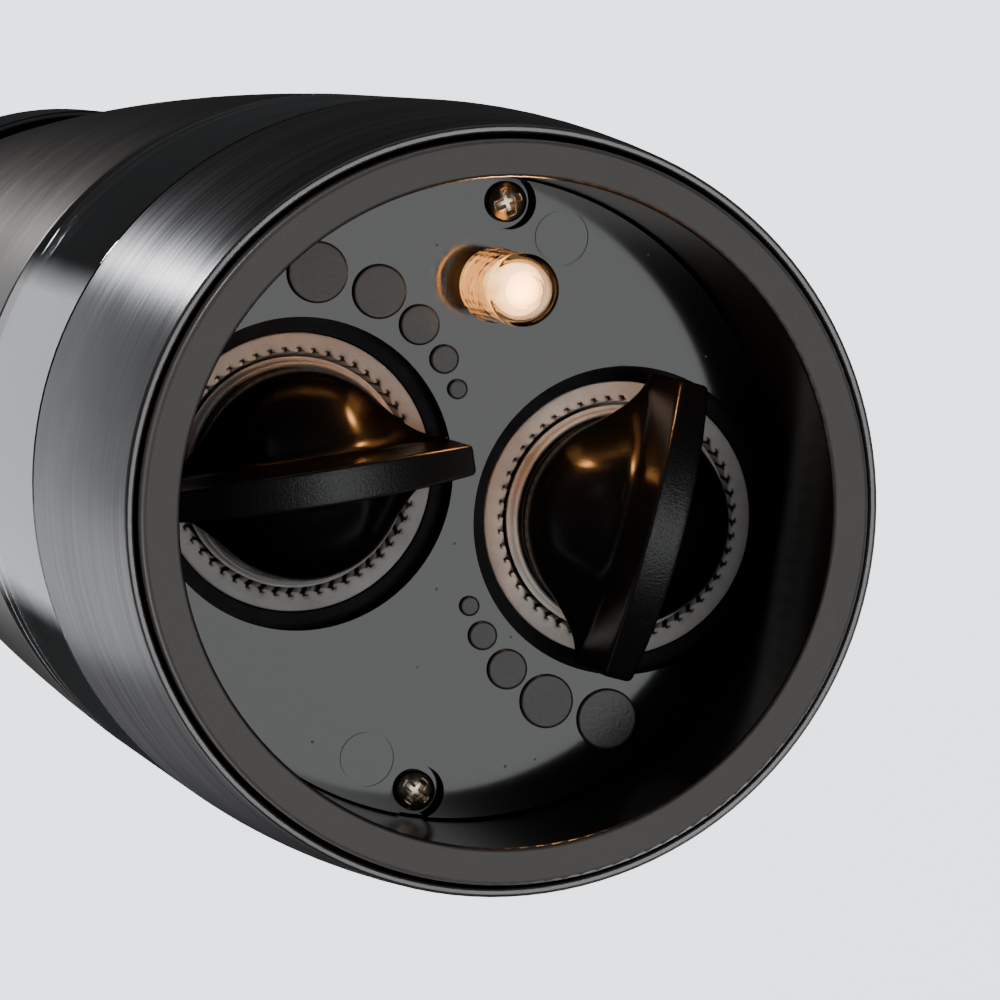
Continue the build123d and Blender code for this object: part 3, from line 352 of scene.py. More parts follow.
@dataclass(frozen=True)
class PlatePlastic(Finish):
    """Polished black plastic whose raised dots have matt, spark-eroded tops, with a little dust."""

    name: str
    colour: Rgb
    face_z: float
    dot_height: float
    polish: float = 0.06

    def build(self, bench: Bench) -> Wire:
        """The mask is 1 below the plate's face, where only the dots' tops are."""
        place = bench.place()
        _, _, height = bench.axes(place)
        face = self.face_z * MM
        dots = height.ramp(face - self.dot_height * MM * 0.95, face - self.dot_height * MM * 0.7, 1.0, 0.0)
        grain = bench.noise(place, 2600.0, 3.0, 0.7)
        waves = bench.noise(place, 55.0, 1.0)
        dust_and_notch_shade = bench.specks(place, 420.0, 0.055)
        dull = tuple(part * 2 + 0.02 for part in self.colour)
        pale = bench.blend(dust_and_notch_shade * 0.6, bench.blend(dots, self.colour, dull), (0.2, 0.2, 0.19))
        rough = dots * 0.2 + grain * 0.05 + self.polish + dust_and_notch_shade * 0.3
        height_of = grain * dots * 0.6 + waves * 0.5 + dust_and_notch_shade * 0.2
        inputs = {
            "Base Color": pale,
            "Roughness": rough,
            "Normal": bench.bump(height_of, 0.00004, 0.8),
        }
        return bench.surface(inputs)


@dataclass(frozen=True)
class KnobPlastic(Finish):
    """Polished black plastic with a satin, pebbled crest along the fin."""

    name: str
    colour: Rgb
    polish: float = 0.23

    def build(self, bench: Bench) -> Wire:
        """The piece's crest attribute is 1 along the fin's face and 0 elsewhere."""
        place = bench.place()
        crest = bench.add("ShaderNodeAttribute", {"attribute_name": "crest"})["Fac"]
        pebbles = bench.noise(place, 4200.0, 3.0, 0.6)
        haze = bench.noise(place, 220.0, 4.0)
        light = tuple(part * 1.5 + 0.004 for part in self.colour)
        rough = crest * 0.03 + self.polish + haze * 0.06
        inputs = {
            "Base Color": bench.blend(crest * pebbles, self.colour, light),
            "Roughness": rough,
            "Normal": bench.bump(pebbles * crest + haze * 0.3, 0.00003),
        }
        return bench.surface(inputs)


@dataclass(frozen=True)
class Ceramic(Finish):
    """Fired ceramic: off-white, dry, with fine pits and painted shade in its notches."""

    name: str
    colour: Rgb
    roughness: float = 0.42
    dust_and_notch_shade: Rgb = (0.07, 0.064, 0.06)

    def build(self, bench: Bench) -> Wire:
        """Clouds and pits darken the body, the pits are sunk, and painted shade fills the notches where the
        cut attribute is set.
        """
        place = bench.place()
        clouds = bench.noise(place, 320.0, 5.0)
        pits = bench.specks(place, 1900.0, 0.22)
        grain = bench.noise(place, 5200.0, 2.0)
        dusty = tuple(part * 0.72 for part in self.colour)
        cut = bench.add("ShaderNodeAttribute", {"attribute_name": "cut"})["Fac"]
        body = bench.blend(clouds.ramp(0.4, 0.75) * 0.6 + pits * 0.3, self.colour, dusty)
        inputs = {
            # the notches, where the cut mark is 1, are painted dark grey as shade
            "Base Color": bench.blend(cut.ramp(0.15, 0.7), body, self.dust_and_notch_shade),
            "Roughness": self.roughness + clouds * 0.15,
            "Subsurface Weight": 0.08,
            "Subsurface Radius": (0.0012, 0.001, 0.0008),
            "Normal": bench.bump(grain * 0.6 - pits * 0.4, 0.00003),
        }
        return bench.surface(inputs)


@dataclass(frozen=True)
class Clear(Finish):
    """Clear plastic, with moulding ripples and a few fine scratches."""

    name: str
    colour: Rgb
    ior: float = 1.47
    ripple: float = 60.0
    depth: float = 0.00003
    scratched: float = 0.1

    def build(self, bench: Bench) -> Wire:
        """Ripples are a bump; scratches roughen it."""
        place = bench.place()
        ripples = bench.noise(place, self.ripple, 2.0)
        scratches = bench.noise(bench.stretch(place, (60.0, 60.0, 2400.0)), 1.0, 2.0)
        inputs = {
            "Base Color": self.colour,
            "Roughness": scratches.ramp(0.55, 0.8, 0.0, self.scratched) + 0.015,
            "IOR": self.ior,
            "Transmission Weight": 1.0,
            "Normal": bench.bump(ripples, self.depth),
        }
        return bench.surface(inputs)


@dataclass(frozen=True)
class LampGlow(Finish):
    """A lit warm-white diode: brightest at its domed tip, amber further down its sides."""

    name: str
    tip_z: float
    strength: float = 3.6

    def build(self, bench: Bench) -> Wire:
        """Heat falls from the tip over 6 mm, broken up by the cup and wires inside."""
        place = bench.place()
        _, _, height = bench.axes(place)
        near = height.ramp(self.tip_z * MM, (self.tip_z + 3.5) * MM, 1.0, 0.0)
        cup = bench.noise(place, 420.0, 3.0)
        heat = near * 0.35 + cup * 0.75
        inputs = {
            "Base Color": (0.9, 0.7, 0.45),
            "Roughness": 0.2 + cup * 0.1,
            "Emission Color": bench.blend(heat.ramp(0.36, 0.78), (0.6, 0.24, 0.07), (1.0, 0.62, 0.28)),
            "Emission Strength": self.strength,
            "Normal": bench.bump(cup, 0.0002),
        }
        return bench.surface(inputs)


@dataclass(frozen=True)
class Banded(Finish):
    """A battery cell's printed sleeve: two plain bands of colour, shrunk on with fine creases."""

    name: str
    body: Rgb
    band: Rgb
    pitch: float

    def build(self, bench: Bench) -> Wire:
        """Bands follow the height, repeated over one cell's pitch."""
        place = bench.place()
        _, _, height = bench.axes(place)
        share = bench.maths("FRACT", height / (self.pitch * MM))
        creases = bench.noise(bench.stretch(place, (300.0, 300.0, 1600.0)), 1.0, 3.0)
        inputs = {
            "Base Color": bench.blend(share.ramp(0.62, 0.63), self.body, self.band),
            "Metallic": 0.4,
            "Roughness": creases * 0.2 + 0.25,
            "Normal": bench.bump(creases, 0.00002),
        }
        return bench.surface(inputs)


# Sizes and heights that the finishes go by, in millimetres
BORE_R = 28.3
PLATE_Z = 17.0
LAMP_TIP_Z = 8.2
DOT_HEIGHT = 0.35

# Which way each knob's fin points, in degrees from X towards Y
FIN_ANGLES = {"left": -17.0, "right": -84.0}

FINISHES: dict[str, Finish] = {
    "foot_plastic": RimPlastic("foot_plastic", (0.11, 0.102, 0.097), BORE_R),
    "gloss_black": PlatePlastic("gloss_black", (0.0035, 0.0035, 0.0038), PLATE_Z, DOT_HEIGHT),
    "core_plastic": Moulded("core_plastic", (0.004, 0.004, 0.0045), 0.45, level=0.15),
    "brushed_collar": Metal("brushed_collar", (0.20, 0.192, 0.195), 0.30, Lay.AROUND, 0.00002, 0.45, 0.8),
    "head_steel": Metal("head_steel", (0.13, 0.114, 0.104), 0.34, Lay.AROUND, 0.000005, 0.1, 0.4),
    "clear_acrylic": Clear("clear_acrylic", (0.97, 0.98, 0.98)),
    "lamp_clear": Clear("lamp_clear", (1.0, 0.97, 0.92), 1.45, 420.0, 0.00006, 0.0),
    "lamp_light": LampGlow("lamp_light", LAMP_TIP_Z),
    "ceramic_white": Ceramic("ceramic_white", (0.82, 0.78, 0.75)),
    "shaft_steel": Metal("shaft_steel", (0.5, 0.5, 0.5), 0.28, Lay.ALONG),
    "screw_steel": Metal("screw_steel", (0.6, 0.52, 0.4), 0.24, Lay.CLOUDY),
    "spring_steel": Metal("spring_steel", (0.55, 0.55, 0.56), 0.22, Lay.ALONG),
    "bronze": Metal("bronze", (0.55, 0.33, 0.15), 0.34, Lay.CLOUDY),
    "contact_brass": Metal("contact_brass", (0.75, 0.55, 0.25), 0.25, Lay.CLOUDY),
    "wire_red": Moulded("wire_red", (0.5, 0.02, 0.015), 0.3),
    "seal_rubber": Moulded("seal_rubber", (0.02, 0.02, 0.02), 0.6, 2600.0, 0.00005, 0.3),
    "gear_nylon": Moulded("gear_nylon", (0.75, 0.73, 0.66), 0.4, 1800.0),
    "motor_can": Metal("motor_can", (0.6, 0.6, 0.6), 0.3, Lay.CLOUDY, smudge=0.15),
    "cell_jacket": Banded("cell_jacket", (0.03, 0.05, 0.09), (0.55, 0.3, 0.08), 56.0),
    "board_green": Moulded("board_green", (0.015, 0.11, 0.04), 0.28, 900.0, 0.00005),
    "switch_black": Moulded("switch_black", (0.015, 0.015, 0.015), 0.4),
    "button_grey": Moulded("button_grey", (0.09, 0.09, 0.095), 0.38, 3000.0, 0.00003),
}

KNOB_FINISH = KnobPlastic("knob_plastic", (0.0035, 0.0035, 0.0036))
CERAMIC_FINISH = FINISHES["ceramic_white"]


# Meshes


def closed_quads(rows: int, columns: int, rows_close: bool = False) -> np.ndarray:
    """Faces of a grid whose columns wrap round.

    Args:
        rows: number of rows of points.
        columns: number of points in a row.
        rows_close: whether the last row joins the first.

    Returns:
        An array of four point numbers for each face.
    """
    row = np.arange(rows if rows_close else rows - 1)[:, None]
    column = np.arange(columns)[None, :]
    after = (row + 1) % rows
    beside = (column + 1) % columns
    here, there = row * columns, after * columns
    corners = (here + column, here + beside, there + beside, there + column)
    return np.stack([np.broadcast_to(corner, (row.size, columns)) for corner in corners], -1).reshape(-1, 4)


def add_piece(
    name: str,
    points: np.ndarray,
    faces: Sequence[np.ndarray],
    finish: Finish,
    marks: Optional[dict[str, np.ndarray]] = None,
) -> bpy.types.Object:
    """Makes a smooth-shaded piece at the origin from arrays.

    Args:
        name: the piece's name.
        points: places in millimetres, one row each.
        faces: arrays of point numbers, one array for each number of corners.
        finish: what it is made of.
        marks: values to keep at each point, by attribute name.

    Returns:
        The piece.
    """
    mesh = bpy.data.meshes.new(name)
    loops = np.concatenate([group.ravel() for group in faces]).astype(np.int32)
    sizes = np.concatenate([np.full(len(group), group.shape[1]) for group in faces])
    starts = np.concatenate([[0], np.cumsum(sizes)[:-1]]).astype(np.int32)
    mesh.vertices.add(len(points))
    mesh.vertices.foreach_set("co", (np.asarray(points, float) * MM).ravel())
    mesh.loops.add(len(loops))
    mesh.loops.foreach_set("vertex_index", loops)
    mesh.polygons.add(len(sizes))
    mesh.polygons.foreach_set("loop_start", starts)
    mesh.polygons.foreach_set("use_smooth", np.ones(len(sizes), bool))
    mesh.update(calc_edges=True)
    mesh.validate()
    for mark, values in (marks or {}).items():
        layer = mesh.attributes.new(mark, "FLOAT", "POINT")
        layer.data.foreach_set("value", np.asarray(values, np.float32).ravel())
    mesh.materials.append(finish.material())
    piece = bpy.data.objects.new(name, mesh)
    bpy.context.scene.collection.objects.link(piece)
    return piece


def rounded(corners: Sequence[Triple], steps: int = 5, close: bool = True) -> np.ndarray:
    """Profile with its corners rounded.

    Each corner is cut back along both its sides by its radius and joined by a quadratic curve
    that leaves and meets the sides in line with them, so every corner turns smoothly.

    Args:
        corners: radius, height and rounding of each corner.
        steps: spans in a rounded corner.
        close: whether the last corner joins the first.

    Returns:
        The profile's points, as radius and height.
    """
    points = np.array([corner[:2] for corner in corners], float)
    cuts = np.array([corner[2] for corner in corners], float)
    share = np.linspace(0, 1, steps + 1)[:, None]
    runs = []
    for number, (point, cut) in enumerate(zip(points, cuts)):
        end = not close and number in (0, len(points) - 1)
        if end or cut <= 0:
            runs.append(point[None, :])
            continue
        before = points[number - 1] - point
        after = points[(number + 1) % len(points)] - point
        start = point + before / np.linalg.norm(before) * cut
        finish = point + after / np.linalg.norm(after) * cut
        runs.append((1 - share) ** 2 * start + 2 * share * (1 - share) * point + share**2 * finish)
    return np.concatenate(runs)


def refined(profile: np.ndarray, longest: float, close: bool = True) -> np.ndarray:
    """Divides a profile's long spans evenly.

    Args:
        profile: the profile's points, as radius and height.
        longest: the length that no span may be over.
        close: whether the last point joins the first.

    Returns:
        The profile with the added points.
    """
    following = np.roll(profile, -1, axis=0) if close else profile[1:]
    leading = profile if close else profile[:-1]
    spans = np.linalg.norm(following - leading, axis=1)
    counts = np.maximum(1, np.ceil(spans / longest)).astype(int)
    runs = [
        first + (second - first) * np.linspace(0, 1, count, endpoint=False)[:, None]
        for first, second, count in zip(leading, following, counts)
    ]
    return np.concatenate(runs if close else [*runs, profile[-1:]])


def round_angles(columns: int) -> np.ndarray:
    """One row of evenly spaced angles that go once round."""
    return np.linspace(0, 2 * np.pi, columns, endpoint=False)[None, :]


def turned(profile: np.ndarray, columns: int, centre: Place = (0.0, 0.0)) -> np.ndarray:
    """Turns a profile about an upright axis: radius times cosine, radius times sine, height.

    Args:
        profile: its points, as radius and height.
        columns: number of copies round the axis.
        centre: the axis's place.

    Returns:
        The points, one row of the profile after another.
    """
    angle = round_angles(columns)
    radius = profile[:, 0][:, None]
    height = profile[:, 1][:, None] + 0 * angle
    flat = np.stack([radius * np.cos(angle), radius * np.sin(angle), height], -1)
    return (flat + np.array([*centre, 0.0])).reshape(-1, 3)


def outward(piece: bpy.types.Object) -> None:
    """Joins a closed piece's doubled points and turns its faces outwards."""
    shell = bmesh.new()
    shell.from_mesh(piece.data)
    bmesh.ops.remove_doubles(shell, verts=shell.verts, dist=1e-7)
    bmesh.ops.recalc_face_normals(shell, faces=shell.faces)
    shell.to_mesh(piece.data)
    shell.free()


def middle(node: str) -> Place:
    """The x and y of a node's middle, in millimetres."""
    low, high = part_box(node)
    return (low[0] + high[0]) / 2 / MM, (low[1] + high[1]) / 2 / MM


def level(node: str, top: bool = False) -> float:
    """The height of a node's foot or top, in millimetres."""
    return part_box(node)[1 if top else 0][2] / MM


def settle(piece: bpy.types.Object, body: str, slot: str, *nodes: str) -> bpy.types.Object:
    """Turns a piece's faces outwards and lets it ride on a body.

    Args:
        piece: the piece.
        body: the body that it moves with.
        slot: the record's slot named for its finish; not used.
        nodes: the CAD nodes that it stands for.

    Returns:
        The piece.
    """
    outward(piece)
    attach(piece, body)
    if nodes:
        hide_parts(*nodes)
    log.info("%s: %d faces, rides on %s", piece.name, len(piece.data.polygons), body)
    return piece


# Grinders


@dataclass
class Knob:
    """One coarseness knob: a domed hub drawn out into a tall fin with an arched crest."""

    side: str
    fin_angle: float
    dome_r: float = 9.18
    dome_height: float = 5.7
    fin_half_length: float = 13.15
    fin_half_thick: float = 1.28
    fin_belly: float = 0.34
    crest_height: float = 12.7
    end_height: float = 9.5
    root_round: float = 1.1
    edge_round: float = 0.28
    rim_thick: float = 0.25
    flare_height: float = 4.4
    flare_start: float = 7.4
    flare_fall: float = 1.8
    dome_spread: float = 1.12
    sweep_start: float = 3.5
    sweep_beyond: float = 1.0
    hollowness: float = 1.25
    blunt: float = 0.5
    blunt_side: float = 0.32
    blunt_crest: float = 0.35
    hub_height: float = 3.0
    hub_sink: float = 0.2
    hub_inset: float = 0.05
    hub_columns: int = 128
    spans: int = 150

    def half_width(self, along: np.ndarray) -> np.ndarray:
        """Outline: the dome's circle, then hollow curves that fall to the fin.

        The fall is a power of the share of the fin's length that is left.
        """
        narrow = self.fin_half_thick + 0.02
        start = math.sqrt(self.dome_r**2 - self.flare_start**2)
        far = np.abs(along)
        circle = np.sqrt(np.clip(self.dome_r**2 - far**2, 0, None))
        left = np.clip((self.fin_half_length - far) / (self.fin_half_length - self.flare_start), 0, 1)
        return np.where(far < self.flare_start, circle, narrow + (start - narrow) * left**self.flare_fall)

    def section(self, along: np.ndarray) -> tuple[np.ndarray, np.ndarray, np.ndarray]:
        """One half of the cross-section at each place along the fin, from rim to crest.

        The flank is part ellipse and part concave sweep: in the middle it is a dome, and towards
        the fin's ends a hollow curve that climbs to the fin. A quarter circle joins it to the
        fin's wall, and a smaller one rounds the crest's edge.

        Args:
            along: distances from the knob's axis along the fin.

        Returns:
            Distance from the middle plane, depth below the rim, and the crest mark.
        """
        far = np.abs(along)[:, None]
        width = self.half_width(along)[:, None]
        share = far / self.fin_half_length
        end = np.clip((far - self.fin_half_length + self.blunt) / self.blunt, 0, 1)
        end = 1 - np.sqrt(1 - end**2)
        belly = self.fin_belly * (1 - share**2)
        thick = np.minimum(self.fin_half_thick + belly, width) - self.blunt_side * end
        crest = self.crest_height - (self.crest_height - self.end_height) * share**2
        crest = crest - self.blunt_crest * end
        spread = far / (self.dome_r * self.dome_spread)
        dome = self.dome_height * np.sqrt(np.clip(1 - spread**2, 0, None))
        flare = self.flare_height * np.clip(far / self.dome_r, 0, 1) ** 2
        height = (dome**4 + flare**4) ** 0.25
        sweep_end = self.dome_r + self.sweep_beyond
        sweep = np.clip((far - self.sweep_start) / (sweep_end - self.sweep_start), 0, 1)
        sweep = sweep * sweep * (3 - 2 * sweep)
        root = np.minimum(self.root_round, np.maximum(width - thick, 0.0))
        out = thick + root + (width - thick - root) * (1 - np.linspace(0, 1, 34) ** 1.5 * 0.999)[None, :]

        def flank(side: np.ndarray) -> np.ndarray:
            """Depth of the dome or sweep at a distance from the middle plane."""
            near = np.clip(side / np.maximum(width, 1e-6), 0, 1)
            hollow_side = (1 - near) ** self.hollowness
            return height * ((1 - sweep) * np.sqrt(1 - near**2) + sweep * hollow_side)

        bend = np.linspace(0, 1, 9)[None, 1:]
        hollow_out = thick + root * (1 - np.sin(bend * np.pi / 2))
        hollow = flank(hollow_out) + root * (1 - np.cos(bend * np.pi / 2))
        foot = hollow[:, -1:]
        wall = foot + (crest - self.edge_round - foot) * np.linspace(0, 1, 9)[None, 1:]
        turn = np.linspace(0, np.pi / 2, 6)[None, 1:]
        edge_out = thick - self.edge_round * (1 - np.cos(turn))
        edge = crest - self.edge_round * (1 - np.sin(turn))
        flat = (thick - self.edge_round) * np.linspace(1, 0, 4)[None, 1:]
        outs = [out, hollow_out, thick + 0 * wall, edge_out, flat + 0 * crest]
        depths = [flank(out), hollow, wall, edge, crest + 0 * flat]
        count = [part.shape[1] for part in outs]
        below, edging = np.zeros(sum(count[:3])), np.linspace(0.2, 1, count[3])
        marks = np.concatenate([below, edging, np.ones(count[4])])
        across = np.concatenate(outs, 1)
        return across, np.concatenate(depths, 1), np.broadcast_to(marks, across.shape)

    def shell(self, rim: float) -> tuple[np.ndarray, np.ndarray, list[np.ndarray]]:
        """The sections carried along the fin, with a cap on each end.

        Args:
            rim: height of the dome's rim.

        Returns:
            The points, their crest marks and the groups of faces, four-cornered ones first.
        """
        share = np.linspace(-1, 1, self.spans)
        along = self.fin_half_length * np.sign(share) * (1 - (1 - np.abs(share)) ** 1.35)
        across, depth, marks = self.section(along)
        under = np.full((len(along), 1), -self.rim_thick)
        width = across[:, :1]
        outs = np.concatenate([width, across, -across[:, -2::-1], -width], 1)
        downs = np.concatenate([under, depth, depth[:, -2::-1], under], 1)
        crest = np.concatenate([0 * under, marks, marks[:, -2::-1], 0 * under], 1)
        lengths = np.broadcast_to(along[:, None], outs.shape)
        turn = math.radians(self.fin_angle)
        x, y = middle(f"{self.side}_rotor")
        east = x + lengths * math.cos(turn) - outs * math.sin(turn)
        north = y + lengths * math.sin(turn) + outs * math.cos(turn)
        places = np.stack([east, north, rim - downs], -1).reshape(-1, 3)
        columns = outs.shape[1]
        pair = np.arange(columns // 2)
        cap = np.stack([pair, pair + 1, columns - 2 - pair, columns - 1 - pair], -1)
        cap = cap[(cap[:, 1] < cap[:, 2])]
        tip = columns // 2 + np.array([[-1, 0, 1]])
        last = (len(along) - 1) * columns
        quads = np.concatenate([closed_quads(len(along), columns), cap[:, ::-1], cap + last])
        return places, crest.ravel(), [quads, tip[:, ::-1], tip + last]

    def hub(self, rim: float, first: int) -> tuple[np.ndarray, list[np.ndarray]]:
        """The plain hub behind the dome.

        Args:
            rim: height of the dome's rim.
            first: number of the hub's first point.

        Returns:
            The points and the groups of faces.
        """
        radius = self.dome_r - self.hub_inset
        corners = [(radius, rim + self.hub_sink, 0.1), (radius, rim + self.hub_height, 0.2)]
        profile = rounded(corners, 4, False)
        points = turned(profile, self.hub_columns, middle(f"{self.side}_rotor"))
        ring = np.arange(self.hub_columns)[None, :] + first
        far_ring = ring + self.hub_columns * (len(profile) - 1)
        return points, [closed_quads(len(profile), self.hub_columns) + first, ring[:, ::-1], far_ring]

    def build(self) -> bpy.types.Object:
        """The domed shell and its hub as one piece."""
        rim = level(f"{self.side}_knob", True) - self.hub_height
        shell, crest, shell_faces = self.shell(rim)
        hub, hub_faces = self.hub(rim, len(shell))
        points = np.concatenate([shell, hub])
        marks = {"crest": np.concatenate([crest, np.zeros(len(hub))])}
        groups = [*shell_faces, *hub_faces]
        piece = add_piece(f"{self.side}_coarseness_knob", points, groups, KNOB_FINISH, marks)
        return settle(piece, f"{self.side}_dial", "gloss_black", f"{self.side}_knob")


@dataclass
class Stator:
    """The fixed ceramic ring: a flat face, a notched mouth and a toothed cone behind it."""

    side: str
    outer_r: float = 12.12
    mouth_r: float = 10.45
    throat_r: float = 8.3
    teeth: int = 52
    tooth_depth: float = 0.5
    lean: float = 2.1
    sweep: float = 11.0
    cut_width: float = 0.4
    cut_height: float = 1.5
    edge_round: float = 0.22

    def build(self) -> bpy.types.Object:
        """A turned profile whose mouth and cone are cut by slanted notches.

        The radius near the mouth grows by the notch depth where a sine of the tooth count times
        the angle, shifted with depth so that the notches lean, is over a threshold.
        """
        node = f"{self.side}_stator"
        face, back = level(node) + 0.02, level(node, True)
        corners = [
            (self.outer_r, back, self.edge_round),
            (self.throat_r, back, 0.2),
            (self.mouth_r, face, 0.16),
            (self.outer_r, face, self.edge_round),
        ]
        profile = refined(rounded(corners, 4), 0.35)
        columns = self.teeth * 10
        points = turned(profile, columns).reshape(len(profile), columns, 3)
        angle = round_angles(columns)
        radius = profile[:, 0][:, None]
        deep = profile[:, 1][:, None] - face
        inner = self.mouth_r + deep * (self.throat_r - self.mouth_r) / (back - face)
        outside = np.clip(1 - (radius - inner - 0.02) / self.cut_width, 0, 1)
        reach = outside * np.clip((back - face - deep) / self.cut_height, 0, 1)
        wave = np.sin(self.teeth * angle + deep * self.lean + (radius - inner) * self.sweep)
        notch = np.clip((wave - 0.1) * 2.4, 0, 1)
        grown = radius + self.tooth_depth * notch * reach * 0.75
        sunk = self.tooth_depth * notch * reach * np.clip(1 - deep / 0.5, 0, 1) * 0.8
        points[..., 0] = grown * np.cos(angle)
        points[..., 1] = grown * np.sin(angle)
        points[..., 2] += sunk
        x, y = middle(node)
        points = (points + np.array([x, y, 0.0])).reshape(-1, 3)
        ring = [closed_quads(len(profile), columns, True)]
        # the cut mark tells the ceramic finish where to paint shade into the notches
        marks = {"cut": notch * reach}
        piece = add_piece(f"{self.side}_grinding_ring", points, ring, CERAMIC_FINISH, marks)
        return settle(piece, "base", "ceramic_white", node)


@dataclass
class RotorLip:
    """The rounded ceramic lip of the turning ring, which stands out around the knob's hub."""

    side: str
    inner_r: float = 9.32
    outer_r: float = 9.74
    reach: float = 1.3
    overlap: float = 0.3
    columns: int = 192

    def build(self) -> bpy.types.Object:
        """A turned rectangle with round lower edges."""
        face = level(f"{self.side}_rotor")
        low = face - self.reach
        corners = [
            (self.inner_r, face + self.overlap, 0.02),
            (self.inner_r, low, 0.18),
            (self.outer_r, low, 0.3),
            (self.outer_r, face + self.overlap, 0.02),
        ]
        profile = refined(rounded(corners, 6), 0.3)
        points = turned(profile, self.columns, middle(f"{self.side}_rotor"))
        ring = [closed_quads(len(profile), self.columns, True)]
        piece = add_piece(f"{self.side}_rotor_lip", points, ring, CERAMIC_FINISH)
        return settle(piece, f"{self.side}_burr", "ceramic_white")


@dataclass
class GradeDots:
    """Ten raised dots, five round each grinder, that mark fine to coarse."""

    radii: tuple[float, ...] = (2.5, 2.2, 1.6, 1.1, 0.7)
    angles: tuple[float, ...] = (86.0, 105.0, 120.5, 133.5, 143.8)
    well_r: float = 13.6
    clear: float = 1.4
    proud: float = 0.19
    edge: float = 0.21
    flat_inset: float = 0.3
    over: float = 0.02
    sink: float = 0.05
    columns: int = 72

    def build(self) -> bpy.types.Object:
        """Each dot is a turned cap with a rounded edge, all in one piece."""
        groups, discs, points, count = [], [], [], 0
        for side, turn in (("right", 0.0), ("left", 180.0)):
            x, y = middle(f"{side}_rotor")
            for radius, angle in zip(self.radii, self.angles):
                away = self.well_r + self.clear + radius
                way = math.radians(turn + angle)
                place = (x + away * math.cos(way), y + away * math.sin(way))
                out, top = radius + self.proud, PLATE_Z - DOT_HEIGHT - self.over
                foot = PLATE_Z + self.sink
                corners = [(out - self.flat_inset, top, 0.0), (out, top, self.edge), (out, foot, 0.0)]
                profile = rounded(corners, 6, False)
                cap = turned(profile, self.columns, place)
                groups.append(closed_quads(len(profile), self.columns) + count)
                ring = np.arange(self.columns)[None, :] + count
                discs.extend([ring, ring + len(cap) - self.columns])
                points.append(cap)
                count += len(cap)
        faces = [*groups, *discs]
        piece = add_piece("grade_dots", np.concatenate(points), faces, FINISHES["gloss_black"])
        return settle(piece, "base", "gloss_black")


@dataclass
class PlateScrews:
    """The plate's two pan-head screws with their cross recesses."""

    head_r: float = 1.78
    crown: float = 0.45
    edge_height: float = 0.45
    shank_r: float = 0.98
    cross_half: float = 0.24
    cross_reach: float = 1.2
    cross_depth: float = 0.7
    cross_taper: float = 0.12
    seat_depth: float = 1.05
    inset: float = 1.8
    turns: tuple[float, float] = (0.5, 1.05)
    head_rings: int = 34
    columns: int = 96

    def one(self, place: Place, seat: float, tip: float, turn: float) -> tuple[np.ndarray, np.ndarray]:
        """Points and faces of one screw.

        The head is a flattened dome, sunk where a point is within the cross, whose two slots
        narrow with depth; then comes the edge, the under-face and the shank.

        Args:
            place: the screw's axis.
            seat: height of the face that the head rests on.
            tip: height of the shank's far end.
            turn: how far the cross is turned.

        Returns:
            The points and the four-cornered faces.
        """
        rings = self.head_rings
        head = np.linspace(0.02, 1, rings) * (self.head_r - 0.1)
        crown = (1 - (head / self.head_r) ** 2.4) * self.crown + self.edge_height
        radius = [*head, self.head_r, self.head_r, self.shank_r, self.shank_r, self.shank_r * 0.6, 0.05]
        height = [*(seat - crown), seat - 0.3, seat, seat, tip - 0.4, tip, tip]
        points = turned(np.stack([radius, height], 1), self.columns).reshape(len(radius), self.columns, 3)
        angle = round_angles(self.columns) + turn
        across = np.abs(head[:, None] * np.cos(angle))
        up = np.abs(head[:, None] * np.sin(angle))
        narrow = np.minimum(across, up)
        wide = np.maximum(across, up)
        slot = np.clip((self.cross_half + self.cross_taper - narrow) / 0.16, 0, 1)
        slot = slot * np.clip((self.cross_reach - wide) / 0.35, 0, 1)
        points[:rings, :, 2] += slot * self.cross_depth
        points = (points + np.array([*place, 0.0])).reshape(-1, 3)
        return points, closed_quads(len(radius), self.columns)

    def build(self) -> bpy.types.Object:
        """Both screws as one piece, with their poles closed by many-cornered faces."""
        low, high = (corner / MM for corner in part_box("plate_screws"))
        seat, tip = low.z + self.seat_depth, high.z
        parts = [
            self.one((0.0, low.y + self.inset), seat, tip, self.turns[0]),
            self.one((0.0, high.y - self.inset), seat, tip, self.turns[1]),
        ]
        size = len(parts[0][0])
        points = np.concatenate([part[0] for part in parts])
        quads = np.concatenate([parts[0][1], parts[1][1] + size])
        ring = np.arange(self.columns)[None, :]
        ends = [ring, ring + size - self.columns, ring + size, ring + 2 * size - self.columns]
        piece = add_piece("plate_pan_screws", points, [quads, *ends], FINISHES["screw_steel"])
        return settle(piece, "base", "screw_steel", "plate_screws")


